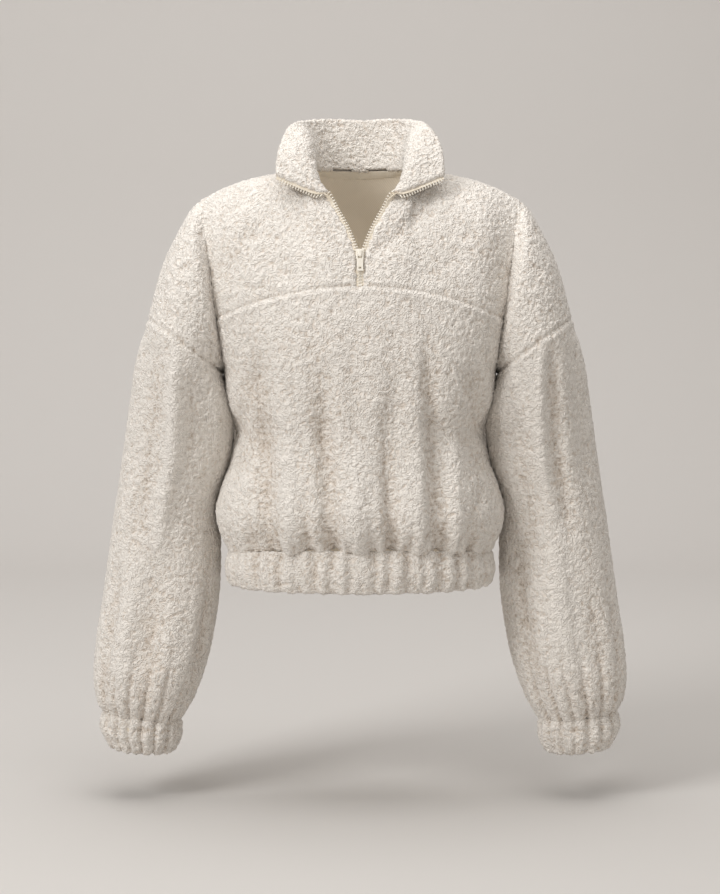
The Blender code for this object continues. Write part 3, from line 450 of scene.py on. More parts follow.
# Shell of fleece on a fine grid: pile outside, a coarser smooth face inside, rounded rims.
# outlines are closed paths of grid corners, all multiples of the coarse step.  Option reach
# says how much further than the plain rim each point of an edge stands out.
# Seams are listed as line, depth of the groove and height of the swelling beside it.
def fleeceShell(name, points, centre, outlines, options):
    coarse = options.get("coarse", 4)
    tube = options.get("tube", False)
    cloth = options.get("cloth", form["cloth"])
    innerPile = options.get("innerPile", False)
    rows, columns = points.shape[:2]
    padded = np.concatenate((points[:, -2:], points, points[:, :2]), axis=1) if tube else points
    normals = unit(np.cross(np.gradient(padded, axis=1), np.gradient(padded, axis=0)))
    if tube:
        normals = normals[:, 2:-2]
    flip = -1.0 if np.sum(normals * (points - centre)) < 0 else 1.0
    normals = normals * flip
    used = options.get("used")
    if used is None:
        used = np.ones(((rows - 1) // coarse, (columns if tube else columns - 1) // coarse), bool)
    usedFine = np.repeat(np.repeat(used, coarse, axis=0), coarse, axis=1)

    # how far each point is pushed out: folds, seam grooves, then the pile
    relief = options.get("relief", np.zeros((rows, columns)))
    groove = np.zeros((rows, columns))
    shallow = np.ones((rows, columns))
    ridge = np.zeros((rows, columns))
    for line, depth, raised in options.get("seams", []):
        away = nearestDistance(points, line)
        groove = np.minimum(groove, -depth * bell(away, seamForm["grooveWidth"]))
        ridge = np.maximum(ridge, raised * bell(away - seamForm["ridgePlace"], seamForm["ridgeWidth"]))
        flat = (1 - seamForm["flattened"]) * (1 - smoothStep(away, 0, seamForm["flatReach"]))
        shallow = np.minimum(shallow, 1 - flat)
    groove = groove + ridge
    height = pileHeight(points)
    broad = softNoise(points, pile["broadSize"], 41) * 0.6 + softNoise(points, pile["middleSize"], 43) * 0.4
    proud = (pile["depth"] * (height - 0.5) + pile["broad"] * broad) * shallow
    outer = points + normals * (relief + groove + pile["sink"] + proud)[..., None]
    # Painted shade in folds and gathers and painted light on swells and ridges: the colour's tone follows the
    # relief
    paintedFoldShade = np.clip(relief, -9, 5) * pile["shade"]
    # Tone: the pile's height, plus painted shade in seam grooves and painted highlight on the ridges beside
    # them
    tone = np.clip(height + groove * seamForm["shade"] + paintedFoldShade, 0, 1)

    innerFine = points + normals * (relief - cloth)[..., None]
    if innerPile:
        innerHeight = pileHeight(innerFine + 500.0)
        innerFine = innerFine - normals * (pile["depth"] * (innerHeight - 0.5) + pile["sink"])[..., None]
    inner = innerFine[::coarse, ::coarse]
    fine = gridIndex(rows, columns, tube)
    low = gridIndex(inner.shape[0], inner.shape[1], tube) + rows * columns
    r, c = np.nonzero(usedFine)
    outerQuads = np.stack((fine[r, c], fine[r, c + 1], fine[r + 1, c + 1], fine[r + 1, c]), axis=1)
    r, c = np.nonzero(used)
    innerQuads = np.stack((low[r, c], low[r + 1, c], low[r + 1, c + 1], low[r, c + 1]), axis=1)
    allPoints = [outer.reshape(-1, 3), inner.reshape(-1, 3)]
    innerTone = innerHeight.ravel() if innerPile else np.full(inner.shape[0] * inner.shape[1], 0.6)
    paintedShadeTones = [tone.ravel(), innerTone]
    rimQuads, fans = [], []
    nextIndex = rows * columns + inner.shape[0] * inner.shape[1]
    rimRows = options.get("rimRows", 1)
    half = cloth / 2 + pile["sink"] * (1.0 if innerPile else 0.5)
    for path in outlines:
        r, c = path[:, 0], path[:, 1] % columns
        edge = (points + normals * relief[..., None])[r, c]
        out = normals[r, c]
        tangent = unit(np.roll(edge, -2, axis=0) - np.roll(edge, 2, axis=0))
        beside = unit(np.cross(tangent, out) * flip)
        push = options["rim"] * np.ones(len(path))
        if "reach" in options:
            push = push + options["reach"](edge)
        before = fine[r, c]
        for row in range(rimRows):
            angle = math.pi / 2 - math.pi * (row + 1) / (rimRows + 1)
            middle = edge - out * (cloth / 2)
            place = middle + out * half * math.sin(angle) + beside * (push * math.cos(angle))[:, None]
            tuft = pileHeight(place)
            lean = unit(out * math.sin(angle) + beside * math.cos(angle))
            place = place + lean * (pile["depth"] * (tuft - 0.5) * 0.8)[:, None]
            here = nextIndex + np.arange(len(path))
            nextIndex += len(path)
            allPoints.append(place)
            paintedShadeTones.append(tuft)
            rimQuads.append(np.stack((np.roll(before, -1), before, here, np.roll(here, -1)), axis=1))
            before = here
        lowPath = low[r[::coarse] // coarse, c[::coarse] // coarse]
        near = np.repeat(lowPath, coarse)
        fans.append(np.stack((np.roll(before, -1), before, near), axis=1))
        last = np.roll(before, -1)[coarse - 1::coarse]
        fans.append(np.stack((last, lowPath, np.roll(lowPath, -1)), axis=1))
    quads = np.concatenate([outerQuads] + rimQuads + [innerQuads])
    triangles = np.concatenate(fans)
    allPoints = np.concatenate(allPoints)
    mirror = options.get("mirror", False)
    if mirror:
        allPoints = allPoints * (-1, 1, 1)
    if (flip < 0) != mirror:
        quads = quads[:, ::-1]
        triangles = triangles[:, ::-1]
    mesh, kept = makeMesh(name, allPoints, quads, triangles, 0 if innerPile else len(innerQuads))
    # The pile attribute carries the pile's height, which the material paints as shade at its roots, with the
    # painted shade of folds and seams added
    attribute = mesh.attributes.new("pile", "FLOAT", "POINT")
    attribute.data.foreach_set("value", np.concatenate(paintedShadeTones)[kept].astype(np.float32))
    print(name, len(quads) * 2 + len(triangles), "triangles")
    return addObject(name, mesh, "sherpaFleece", "knitBacking")


def newGroup(name, inputs, outputs):
    group = bpy.data.node_groups.new(name, "ShaderNodeTree")
    for label, kind, value in inputs:
        socket = group.interface.new_socket(label, in_out="INPUT", socket_type=kind)
        if value is not None:
            socket.default_value = value
    for label, kind in outputs:
        group.interface.new_socket(label, in_out="OUTPUT", socket_type=kind)
    return group, group.nodes.new("NodeGroupInput"), group.nodes.new("NodeGroupOutput")


# Shader node with its settings, and with a value or a link at each input
def addNode(tree, kind, inputs, **settings):
    node = tree.nodes.new("ShaderNode" + kind)
    for label, value in settings.items():
        setattr(node, label, value)
    for label, value in inputs.items():
        if isinstance(value, bpy.types.NodeSocket):
            tree.links.new(value, node.inputs[label])
        else:
            node.inputs[label].default_value = value
    return node


def addMath(tree, operation, first, second=0.0, clamp=False):
    return addNode(tree, "Math", {0: first, 1: second}, operation=operation, use_clamp=clamp).outputs[0]


def addNoise(tree, vector, scale, detail=2.0, roughness=0.5):
    inputs = {"Vector": vector, "Scale": scale, "Detail": detail, "Roughness": roughness}
    return addNode(tree, "TexNoise", inputs)


def objectPlace(tree):
    return addNode(tree, "TexCoord", {}).outputs["Object"]


# Curled pile: thin worm-like ridges where bent noise crosses its middle value, and fine fibres
def buildCurlGroup():
    inputs = [("Vector", "NodeSocketVector", None), ("Curl Scale", "NodeSocketFloat", 300.0),
              ("Bend", "NodeSocketFloat", 0.004)]
    tree, source, result = newGroup("curledPile", inputs, [("Height", "NodeSocketFloat")])
    vector, scale, bend = (source.outputs[label] for label in ("Vector", "Curl Scale", "Bend"))
    slow = addNoise(tree, vector, addMath(tree, "MULTIPLY", scale, 0.45), 1.0)
    middle = {0: slow.outputs["Color"], 1: (0.5, 0.5, 0.5)}
    centred = addNode(tree, "VectorMath", middle, operation="SUBTRACT")
    scaled = addNode(tree, "VectorMath", {0: centred.outputs[0], "Scale": bend}, operation="SCALE")
    bent = addNode(tree, "VectorMath", {0: vector, 1: scaled.outputs[0]}, operation="ADD").outputs[0]
    worms = addNoise(tree, bent, scale, 1.0, 0.4)
    away = addMath(tree, "ABSOLUTE", addMath(tree, "SUBTRACT", worms.outputs["Fac"], 0.5))
    ridge = addMath(tree, "SUBTRACT", 1.0, addMath(tree, "MULTIPLY", away, 5.5), clamp=True)
    fibres = addNoise(tree, bent, addMath(tree, "MULTIPLY", scale, 2.6), 2.0, 0.6)
    fibre = addMath(tree, "MULTIPLY", fibres.outputs["Fac"], 0.22)
    height = addMath(tree, "ADD", addMath(tree, "MULTIPLY", ridge, 0.78), fibre)
    tree.links.new(height, result.inputs["Height"])
    return tree


# Woven or knitted threads: two sets of waves across each other
def buildWeaveGroup():
    inputs = [("Vector", "NodeSocketVector", None), ("Threads", "NodeSocketFloat", 1500.0)]
    tree, source, result = newGroup("threadWeave", inputs, [("Height", "NodeSocketFloat")])
    split = addNode(tree, "SeparateXYZ", {0: source.outputs["Vector"]})
    across = addMath(tree, "ADD", split.outputs["X"], addMath(tree, "MULTIPLY", split.outputs["Y"], 0.7))
    warpWave = addMath(tree, "SINE", addMath(tree, "MULTIPLY", across, source.outputs["Threads"]))
    weftWave = addMath(tree, "SINE", addMath(tree, "MULTIPLY", split.outputs["Z"], source.outputs["Threads"]))
    both = addMath(tree, "MULTIPLY", warpWave, weftWave)
    height = addMath(tree, "ADD", addMath(tree, "MULTIPLY", both, 0.5), 0.5)
    tree.links.new(height, result.inputs["Height"])
    return tree


def newMaterial(name, settings):
    material = bpy.data.materials.new(name)
    material.use_nodes = True
    shader = material.node_tree.nodes["Principled BSDF"]
    for label, value in settings.items():
        shader.inputs[label].default_value = value
    return material, material.node_tree, shader


def addRamp(tree, value, stops):
    ramp = addNode(tree, "ValToRGB", {0: value})
    for number, (place, colour) in enumerate(stops):
        stop = ramp.color_ramp.elements[number] if number < 2 else ramp.color_ramp.elements.new(place)
        stop.position = place
        stop.color = (*colour, 1.0)
    return ramp.outputs["Color"]


def addBump(tree, shader, height, distance, strength):
    bump = addNode(tree, "Bump", {"Distance": distance, "Strength": strength, "Height": height})
    tree.links.new(bump.outputs["Normal"], shader.inputs["Normal"])


# Colours of the fleece's tone ramp: tip is the fleece's own cream; middle and valley are painted shade,
# darkest in the roots of the pile and between the curls
fleeceLook = {
    "valley": (0.40, 0.32, 0.245),
    "middle": (0.73, 0.655, 0.58),
    "tip": (0.86, 0.815, 0.76),
    "curlScale": 250.0,
    "bend": 0.005,
    "bumpDistance": 0.0022,
    "bumpStrength": 0.75,
}


def buildFleece():
    settings = {"Roughness": 0.93, "Sheen Weight": 0.25, "Sheen Roughness": 0.5, "Specular IOR Level": 0.2}
    material, tree, shader = newMaterial("sherpaFleece", settings)
    place = objectPlace(tree)
    curls = addNode(tree, "Group", {
        "Vector": place, "Curl Scale": fleeceLook["curlScale"], "Bend": fleeceLook["bend"],
    }, node_tree=curlGroup)
    attribute = addNode(tree, "Attribute", {}, attribute_name="pile")
    # Low tone at the pile's roots and between the curls is painted shade; the patch noise is the fleece's own
    # uneven tone
    fromPile = addMath(tree, "MULTIPLY", attribute.outputs["Fac"], 0.62)
    fromCurl = addMath(tree, "MULTIPLY", curls.outputs["Height"], 0.36)
    fromPatch = addMath(tree, "MULTIPLY", addNoise(tree, place, 28.0).outputs["Fac"], 0.16)
    tone = addMath(tree, "ADD", addMath(tree, "ADD", fromPile, fromCurl), fromPatch)
    stops = [(0.02, fleeceLook["valley"]), (0.64, fleeceLook["tip"]), (0.34, fleeceLook["middle"])]
    colour = addRamp(tree, tone, stops)
    tree.links.new(colour, shader.inputs["Base Color"])
    addBump(tree, shader, curls.outputs["Height"], fleeceLook["bumpDistance"], fleeceLook["bumpStrength"])
    return material


def buildWoven(name, dark, light, threads, distance, roughness):
    settings = {"Roughness": roughness, "Sheen Weight": 0.15, "Specular IOR Level": 0.25}
    material, tree, shader = newMaterial(name, settings)
    place = objectPlace(tree)
    weave = addNode(tree, "Group", {"Vector": place, "Threads": threads}, node_tree=weaveGroup)
    mottle = addNoise(tree, place, 60.0, 3.0)
    tone = addMath(tree, "ADD", addMath(tree, "MULTIPLY", weave.outputs["Height"], 0.6),
                   addMath(tree, "MULTIPLY", mottle.outputs["Fac"], 0.4))
    colour = addRamp(tree, tone, [(0.25, dark), (0.75, light)])
    tree.links.new(colour, shader.inputs["Base Color"])
    addBump(tree, shader, weave.outputs["Height"], distance, 0.6)
    return material


def buildResin():
    material, tree, shader = newMaterial("zipResin", {"Roughness": 0.38, "Specular IOR Level": 0.5})
    mottle = addNoise(tree, objectPlace(tree), 180.0, 3.0)
    colour = addRamp(tree, mottle.outputs["Fac"], [(0.3, (0.80, 0.745, 0.65)), (0.7, (0.87, 0.825, 0.745))])
    tree.links.new(colour, shader.inputs["Base Color"])
    rough = addRamp(tree, mottle.outputs["Fac"], [(0.3, (0.32, 0.32, 0.32)), (0.7, (0.46, 0.46, 0.46))])
    tree.links.new(rough, shader.inputs["Roughness"])
    addBump(tree, shader, mottle.outputs["Fac"], 0.0001, 0.4)
    return material


curlGroup = buildCurlGroup()
weaveGroup = buildWeaveGroup()
materials = {
    "sherpaFleece": buildFleece(),
    "knitBacking": buildWoven("knitBacking", (0.76, 0.68, 0.56), (0.86, 0.78, 0.66), 2600.0, 0.0002, 0.9),
    "zipTape": buildWoven("zipTape", (0.72, 0.63, 0.50), (0.88, 0.81, 0.70), 6000.0, 0.0002, 0.8),
    "neckTape": buildWoven("neckTape", (0.74, 0.66, 0.54), (0.87, 0.81, 0.70), 4500.0, 0.0002, 0.85),
    "zipResin": buildResin(),
}
print("materials made")


# Outlines of a flat grid and of a tube, as paths of (row, column)
def rectangle(rows, columns):
    return [walk([(0, 0), (0, columns - 1), (rows - 1, columns - 1), (rows - 1, 0)])]


def tubeEnds(rows, columns):
    around = np.arange(columns)
    top = np.stack((np.zeros(columns, int), around), axis=1)
    bottom = np.stack((np.full(columns, rows - 1), around[::-1]), axis=1)
    return [top, np.roll(bottom, 1, axis=0)]


# Points deep inside the body, which the fleece's outer face turns away from
def bodyCentre(points):
    forward = np.full(points.shape[:-1], 8.0)
    return np.stack((points[..., 0] * 0.55, forward, np.minimum(points[..., 2], -60)), axis=-1)


# Turn on a ring at a sideways place, from the ring's own formula
def turnAt(x, halfWidth=160.0, squareness=0.86):
    sideways = np.clip(np.abs(x) / halfWidth, 0, 1)
    forward = (1 - sideways ** (2 / squareness)) ** (squareness / 2)
    return np.degrees(np.arctan2(sideways, forward)) * np.sign(x)


hemFade = {"front": (-452, -400), "back": (-452, -408)}  # z where the hem's gathers start and end


# Degrees between two turns, from -180 to 180
def turnAway(turn, place):
    return (turn - place + 180) % 360 - 180


gatherShare = 0.7  # share of its listed width that a gather's bell has


# Gathers: narrow valleys at listed turns round a ring
def gatherDepth(turn, valleys):
    depth = np.zeros(np.shape(turn))
    for place, width, deep in valleys:
        depth = depth + deep * bell(turnAway(turn, place), gatherShare * width)
    return depth


# Gathers of the hem: x of each valley in front, its width in degrees and its depth
hemFront = [
    (-148, 4.2, 4.6), (-120, 3.6, 5.6), (-104, 2.6, 4.0), (-91, 2.8, 5.4), (-71.5, 3.0, 4.4), (-53, 3.4, 5.6),
    (-30, 3.0, 6.0), (-10.4, 2.6, 4.6), (15.3, 3.0, 4.4), (33, 2.6, 5.2), (54, 3.2, 6.0), (72.6, 2.8, 4.2),
    (92, 3.4, 6.0), (113, 3.0, 4.8), (131, 4.0, 5.4), (149, 3.6, 4.4),
]
hemValleys = [(float(turnAt(x)), width, deep) for x, width, deep in hemFront]
hemValleys += [
    (180 + 9.6 * n + 2.6 * math.sin(2.3 * n), 3.0 + 0.6 * math.sin(1.7 * n), 5.0 + 1.1 * math.sin(3.1 * n))
    for n in range(-8, 9)
]
hemValleys += [(88, 3.4, 2.8), (-87, 3.6, 2.6)]


# Turn round the waist, from the front towards the wearer's left
def ringTurn(points):
    return np.degrees(np.arctan2(points[..., 0] / 160.0, -points[..., 1] / 105.0))


def hemGather(points):
    return gatherDepth(ringTurn(points), hemValleys)


# Where the gathered edges are sewn in, their rims reach under each other
overlap = {"reach": 2.2, "waist": -457.0, "near": 12.0, "aboveCuff": -560.0}


def hemOverlap(edge):
    return np.where(np.abs(edge[:, 2] - overlap["waist"]) < overlap["near"], overlap["reach"], 0.0)


def cuffOverlap(edge):
    return np.where(edge[:, 2] < overlap["aboveCuff"], overlap["reach"], 0.0)


sideForm = {"depth": 7.0, "z": -292.0, "height": 46.0, "frontY": (-22, 6), "sideX": (100, 130)}


# The sides swell out under the arms: a bell down the side, rising backwards and sideways
def sideSwell(points):
    down = bell(points[..., 2] - sideForm["z"], sideForm["height"])
    backwards = smoothStep(points[..., 1], *sideForm["frontY"])
    return sideForm["depth"] * down * backwards * smoothStep(np.abs(points[..., 0]), *sideForm["sideX"])


yokeGrid = {"columns": 140, "armColumns": 100, "rows": 100, "armRows": 48}
# Slack in the chest beside the open zip: from, to, width and depth of each soft trough
yokeTroughs = {
    "left": [((22, -92), (84, -36), 11, 4.0), ((120, -60), (168, -128), 16, 2.2),
             ((60, -128), (120, -96), 13, 1.5)],
    "right": [((-30, -86), (-84, -48), 12, 2.0), ((-116, -56), (-160, -120), 15, 2.4),
              ((-52, -126), (-112, -104), 12, 1.4)],
}


# Depth of slanting troughs seen from the front: a bell across the line, fading past its ends.
# soft is how far before and after its start the fade runs
def troughDepth(points, troughs, soft=16.0):
    depth = np.zeros(points.shape[:-1])
    for (x0, z0), (x1, z1), width, deep in troughs:
        length = math.hypot(x1 - x0, z1 - z0)
        alongX, alongZ = (x1 - x0) / length, (z1 - z0) / length
        dx, dz = points[..., 0] - x0, points[..., 2] - z0
        t = dx * alongX + dz * alongZ
        side = dx * alongZ - dz * alongX
        fade = smoothStep(t, -soft, soft) * smoothStep(length - t, -18, 14)
        depth = depth + deep * fade * bell(side, width)
    return depth


# Half of the upper front: chest, shoulder and the front of the dropped armhole
def makeYoke(side, word):
    crease = form["crease"]

    def middleLine(places):
        return upperSurface(-1, places, np.full(places.shape, 0.45), zipped=True)

    across = np.concatenate((
        evenly(middleLine, 0, crease, yokeGrid["columns"]),
        evenly(middleLine, crease, form["armhole"], yokeGrid["armColumns"])[1:],
    ))
    seam = chestSeamPlace(across, zipped=True)
    above = np.linspace(0, 1, yokeGrid["rows"] + 1)[:, None] * seam
    below = seam + np.linspace(0, 1, yokeGrid["armRows"] + 1)[1:, None] * (1 - seam)
    down = np.concatenate((above, below))
    place = np.broadcast_to(across, down.shape)
    points = upperSurface(-1, place, down, zipped=True)
    rows, columns = down.shape
    split, corner = yokeGrid["rows"], yokeGrid["columns"]
    used = np.ones(((rows - 1) // 4, (columns - 1) // 4), bool)
    used[split // 4:, :corner // 4] = False
    outline = walk([(0, 0), (0, columns - 1), (rows - 1, columns - 1), (rows - 1, corner), (split, corner),
                    (split, 0)])
    seams = [(points[0, ::3], 0.4, 0), (points[split, :corner:3], 1.8, 0.2),
             (points[split:, corner][::3], 1.8, 0.8), (points[:, -1][::3], 1.4, 0.5)]
    relief = -troughDepth(points * (side, 1, 1), yokeTroughs[word])
    top, bottom = upperSurface(-1, place, np.zeros_like(down)), upperSurface(-1, place, np.ones_like(down))
    centre = np.where((place > crease)[..., None], (top + bottom) / 2, bodyCentre(points))
    zipLine = points[:split, 0][::2]

    def zipEdge(edge):  # the pile beside the zip leans out over its tape
        return np.where(nearestDistance(edge, zipLine) < 1.5, 2.8, 0.0)

    return fleeceShell(f"yoke_{word}_fleece", points, centre, [outline], {
        "used": used, "seams": seams, "relief": relief, "mirror": side < 0, "rim": 1.0,
        "reach": zipEdge, "rimRows": 2,
    })


frontGrid = {"columns": 320, "seamRows": 40, "rows": 152}
# Shorter creases of the lower front, besides the solid's own: from, to, width and depth, where
# a negative depth is a ridge
frontCreases = [
    ((-122, -225), (-105, -478), 13, 7.0), ((-133, -405), (-130, -478), 6, 4.5),
    ((-84, -300), (-82, -478), 8, -4.0), ((-64, -385), (-62, -478), 6, 5.5),
    ((-54, -190), (-44, -320), 14, 3.6), ((-44, -290), (-27, -478), 11, 7.0),
    ((-2, -330), (-6, -478), 12, -3.4), ((12, -400), (14, -478), 5, 3.0), ((30, -300), (40, -478), 9, 7.0),
    ((68, -300), (72, -478), 9, -3.6), ((80, -205), (94, -478), 10, 7.0), ((112, -300), (116, -478), 8, -3.0),
    ((138, -395), (128, -478), 7, 5.0), ((-8, -180), (-4, -320), 13, 2.0), ((44, -175), (36, -300), 14, 2.4),
]
# Soft drape at the sides, where the body is caught in at the waist
frontDrapes = [((-130, -236), (-148, -316), 10, 4.5), ((128, -232), (146, -312), 10, 5.0),
               ((-104, -300), (-150, -352), 11, 3.0), ((108, -296), (150, -348), 11, 3.5)]


def makeFront():
    crease = form["crease"]

    def middleLine(places):
        return panel(-1, places, np.full(places.shape, 1.4))

    across = evenly(middleLine, -crease, crease, frontGrid["columns"])
    seam = chestSeamPlace(across, zipped=False)
    above = seam + np.linspace(0, 1, frontGrid["seamRows"] + 1)[:, None] * (1 - seam)
    below = np.repeat(np.linspace(1, 2, frontGrid["rows"] + 1)[1:, None], len(across), axis=1)
    down = np.concatenate((above, below))
    points = panel(-1, np.broadcast_to(across, down.shape), down, folds=frontFolds)
    rows, columns = down.shape
    relief = sideSwell(points) - troughDepth(points, frontCreases, 45.0) - troughDepth(points, frontDrapes)
    relief = relief - hemGather(points) * (1 - smoothStep(points[..., 2], *hemFade["front"]))
    seams = [(points[0, ::3], 1.4, 1.4), (points[-1, ::3], 0.6, 0),
             (points[::3, 0], 0.8, 0), (points[::3, -1], 0.8, 0)]
    return fleeceShell("front_body_fleece", points, bodyCentre(points), rectangle(rows, columns), {
        "seams": seams, "relief": relief, "rim": 1.4, "reach": hemOverlap,
    })


backGrid = {"armColumns": 60, "columns": 232, "rows": 108, "lowerRows": 100}
# Longer creases of the back: x, top z, bottom z, width, depth, where a negative depth is a ridge
backCreases = np.array([
    (-130, -345, -470, 9, 5.0), (-64, -342, -470, 8, 4.5), (18, -336, -470, 8, 4.6), (92, -340, -470, 8, 4.4),
    (-96, -250, -470, 12, 3.0), (58, -250, -470, 12, 3.0), (-40, -330, -470, 7, -2.0),
    (38, -330, -470, 7, -2.0),
    (-44, -120, -300, 18, 3.0), (36, -110, -290, 19, 3.2), (-4, -140, -320, 14, -2.0),
])


def makeBack():
    crease = form["crease"]

    def middleLine(places):
        return panel(1, places, np.full(places.shape, 0.6))

    middle = evenly(middleLine, -crease, crease, backGrid["columns"])
    arm = evenly(middleLine, crease, form["armhole"], backGrid["armColumns"])[1:]
    across = np.concatenate((-arm[::-1], middle, arm))
    lowerPlaces = np.linspace(1, 2, backGrid["lowerRows"] + 1)[1:]
    rowPlaces = np.concatenate((np.linspace(0, 1, backGrid["rows"] + 1), lowerPlaces))
    down, place = np.meshgrid(rowPlaces, across, indexing="ij")
    points = panel(1, place, down, folds=backFolds)
    rows, columns = down.shape
    first, last, split = backGrid["armColumns"], columns - 1 - backGrid["armColumns"], backGrid["rows"]
    used = np.ones(((rows - 1) // 4, (columns - 1) // 4), bool)
    used[split // 4:, :first // 4] = False
    used[split // 4:, last // 4:] = False
    outline = walk([(0, 0), (0, columns - 1), (split, columns - 1), (split, last), (rows - 1, last),
                    (rows - 1, first), (split, first), (split, 0)])
    x, z = points[..., 0], points[..., 2]
    relief = sideSwell(points) - foldDepth(backCreases, x, z, 70.0, 1.0)
    nearHem = 1 - smoothStep(z, *hemFade["back"])
    relief = relief - hemGather(points) * nearHem * (down > 1)
    armMiddle = (panel(1, place, np.zeros_like(down)) + panel(1, place, np.ones_like(down))) / 2
    centre = np.where((np.abs(place) > crease)[..., None], armMiddle, bodyCentre(points))
    seams = [(points[0, ::3], 0.4, 0), (points[-1, ::3], 0.6, 0), (points[:split, 0][::3], 1.8, 0.8),
             (points[:split, -1][::3], 1.8, 0.8), (points[split:, first][::3], 0.8, 0),
             (points[split:, last][::3], 0.8, 0)]
    return fleeceShell("back_body_fleece", points, centre, [outline], {
        "used": used, "seams": seams, "relief": relief, "rim": 1.2, "reach": hemOverlap,
    })


# Grid of a whole arm or cuff, the middle of each of its rings, and the turn round it
def armTube(rings, along, half):
    v = np.linspace(0, 1, half + 1)
    a, vFront = np.meshgrid(along, v, indexing="ij")
    aBack, vBack = np.meshgrid(along, v[-2:0:-1], indexing="ij")
    points = np.concatenate((armSurface(rings, -1, a, vFront), armSurface(rings, 1, aBack, vBack)), axis=1)
    centre = (armSurface(rings, -1, along, 0.0) + armSurface(rings, -1, along, 1.0)) / 2
    turns = np.arange(2 * half) * 180.0 / half
    return points, np.broadcast_to(centre[:, None, :], points.shape), np.broadcast_to(turns, points.shape[:2])


sleeveGrid = {"rows": 260, "half": 116}
cuffGrid = {"rows": 32, "half": 84}
# Gathers where the sleeve meets the cuff: turn round the arm from its outer line, width, depth
cuffValleys = {
    "left": [(12, 6, 5.0), (36, 5, 6.0), (58, 4.5, 5.0), (80, 5.5, 6.0), (101, 4.5, 5.0), (122, 5, 6.4),
             (146, 6, 5.6), (170, 5, 4.8)],
    "right": [(10, 5, 4.8), (32, 6, 5.6), (54, 5, 5.4), (74, 4.5, 4.6), (94, 5.5, 6.2), (116, 5, 5.2),
              (140, 5, 6.0), (166, 6, 5.4)],
}
backCuffValleys = [(190, 5, 5.2), (212, 5, 5.8), (236, 6, 5.0), (258, 5, 6.0), (282, 5, 5.2), (304, 6, 5.8),
                   (330, 5, 5.0), (351, 5, 4.6)]
# Finer pleats of the elastic in the cuffs and the hem band, all round: turn, width, depth
elasticPleats = [(11.25 * n + 3.0 * math.sin(2.7 * n), 3.2, 1.7 + 0.6 * math.sin(1.9 * n)) for n in range(32)]
bandPleats = [(6.0 * n + 1.8 * math.sin(2.7 * n), 1.7, 1.5 + 0.6 * math.sin(1.9 * n)) for n in range(60)]
sleeveForm = {"troughs": 1.35, "swell": 8.0, "swellTurn": 172, "swellWidth": 34, "swellAlong": (1.18, 0.15)}
# Long soft troughs and, with a negative depth, ridges of the sleeves:
# turn, start, end, width in degrees, depth before the form's factor
sleeveTroughs = {
    "left": [(78, 1.00, 1.58, 8, 5.0), (96, 1.00, 1.56, 7, -3.6), (122, 1.20, 1.66, 12, 3.0),
             (137, 1.52, 2.0, 12, 5.4), (59, 1.60, 2.0, 11, 3.6), (92, 1.52, 1.90, 15, -4.4),
             (84, 1.84, 2.0, 8, 3.4), (28, 1.62, 2.0, 9, 3.6)],
    "right": [(63, 1.00, 1.62, 12, 3.6), (112, 1.04, 1.42, 6, 2.0), (90, 1.00, 1.60, 9, -6.0),
              (90, 1.62, 2.0, 14, 4.4), (60, 1.60, 1.98, 11, -2.0), (40, 1.58, 2.0, 9, 4.4),
              (134, 1.60, 2.0, 10, -1.6), (152, 1.55, 2.0, 9, 4.0)],
    "behind": [(210, 1.05, 1.60, 14, 4.0), (250, 1.10, 1.70, 13, 4.4), (292, 1.04, 1.56, 12, 4.0),
               (228, 1.60, 2.0, 12, 5.0), (272, 1.58, 2.0, 12, 5.4), (318, 1.60, 2.0, 11, 4.4)],
}


def makeSleeve(side, word):
    def outerLine(places):
        return armSurface(armRings, -1, places, 0.5)

    along = evenly(outerLine, 1.0, 2.0, sleeveGrid["rows"])
    points, centre, turn = armTube(armRings, along, sleeveGrid["half"])
    a = np.broadcast_to(along[:, None], turn.shape)
    relief = np.zeros(turn.shape)
    for place, start, end, width, deep in sleeveTroughs[word] + sleeveTroughs["behind"]:
        run = smoothStep(a, start, start + 0.18) * smoothStep(end + 0.06 - a, 0, 0.2)
        relief -= deep * run * sleeveForm["troughs"] * bell(turnAway(turn, place), width)
    # the sleeve swells towards the body under the arm
    swellPlace, swellLength = sleeveForm["swellAlong"]
    inner = bell(turnAway(turn, sleeveForm["swellTurn"]), sleeveForm["swellWidth"])
    relief = relief + sleeveForm["swell"] * inner * bell(a - swellPlace, swellLength)
    relief = relief - gatherDepth(turn, cuffValleys[word] + backCuffValleys) * smoothStep(a, 1.82, 1.99)
    rows, columns = turn.shape
    return fleeceShell(f"sleeve_{word}_fleece", points, centre, tubeEnds(rows, columns), {
        "tube": True, "seams": [(points[0, ::2], 1.6, 1.4), (points[-1, ::2], 0.6, 0)], "relief": relief,
        "mirror": side < 0, "rim": 1.4, "reach": cuffOverlap,
    })


def makeCuff(side, word):
    along = np.linspace(0, 1, cuffGrid["rows"] + 1)
    points, centre, turn = armTube(cuffRings, along, cuffGrid["half"])
    a = np.broadcast_to(along[:, None], turn.shape)
    gather = gatherDepth(turn, cuffValleys[word] + backCuffValleys) * (1.0 - 0.4 * a)
    gather = gather + gatherDepth(turn + 5, elasticPleats) * smoothStep(a, 0, 0.3)
    relief = -gather + 0.4 * np.sin(np.pi * a)
    rows, columns = turn.shape

    def openEnd(edge):
        return np.where(edge[:, 2] < -680, 1.6, 0.0)

    return fleeceShell(f"cuff_{word}_fleece", points, centre, tubeEnds(rows, columns), {
        "tube": True, "seams": [(points[0, ::2], 0.6, 0)], "relief": relief, "mirror": side < 0, "rim": 1.4,
        "reach": openEnd, "rimRows": 2,
    })


bandGrid = {"rows": 28, "columns": 520}


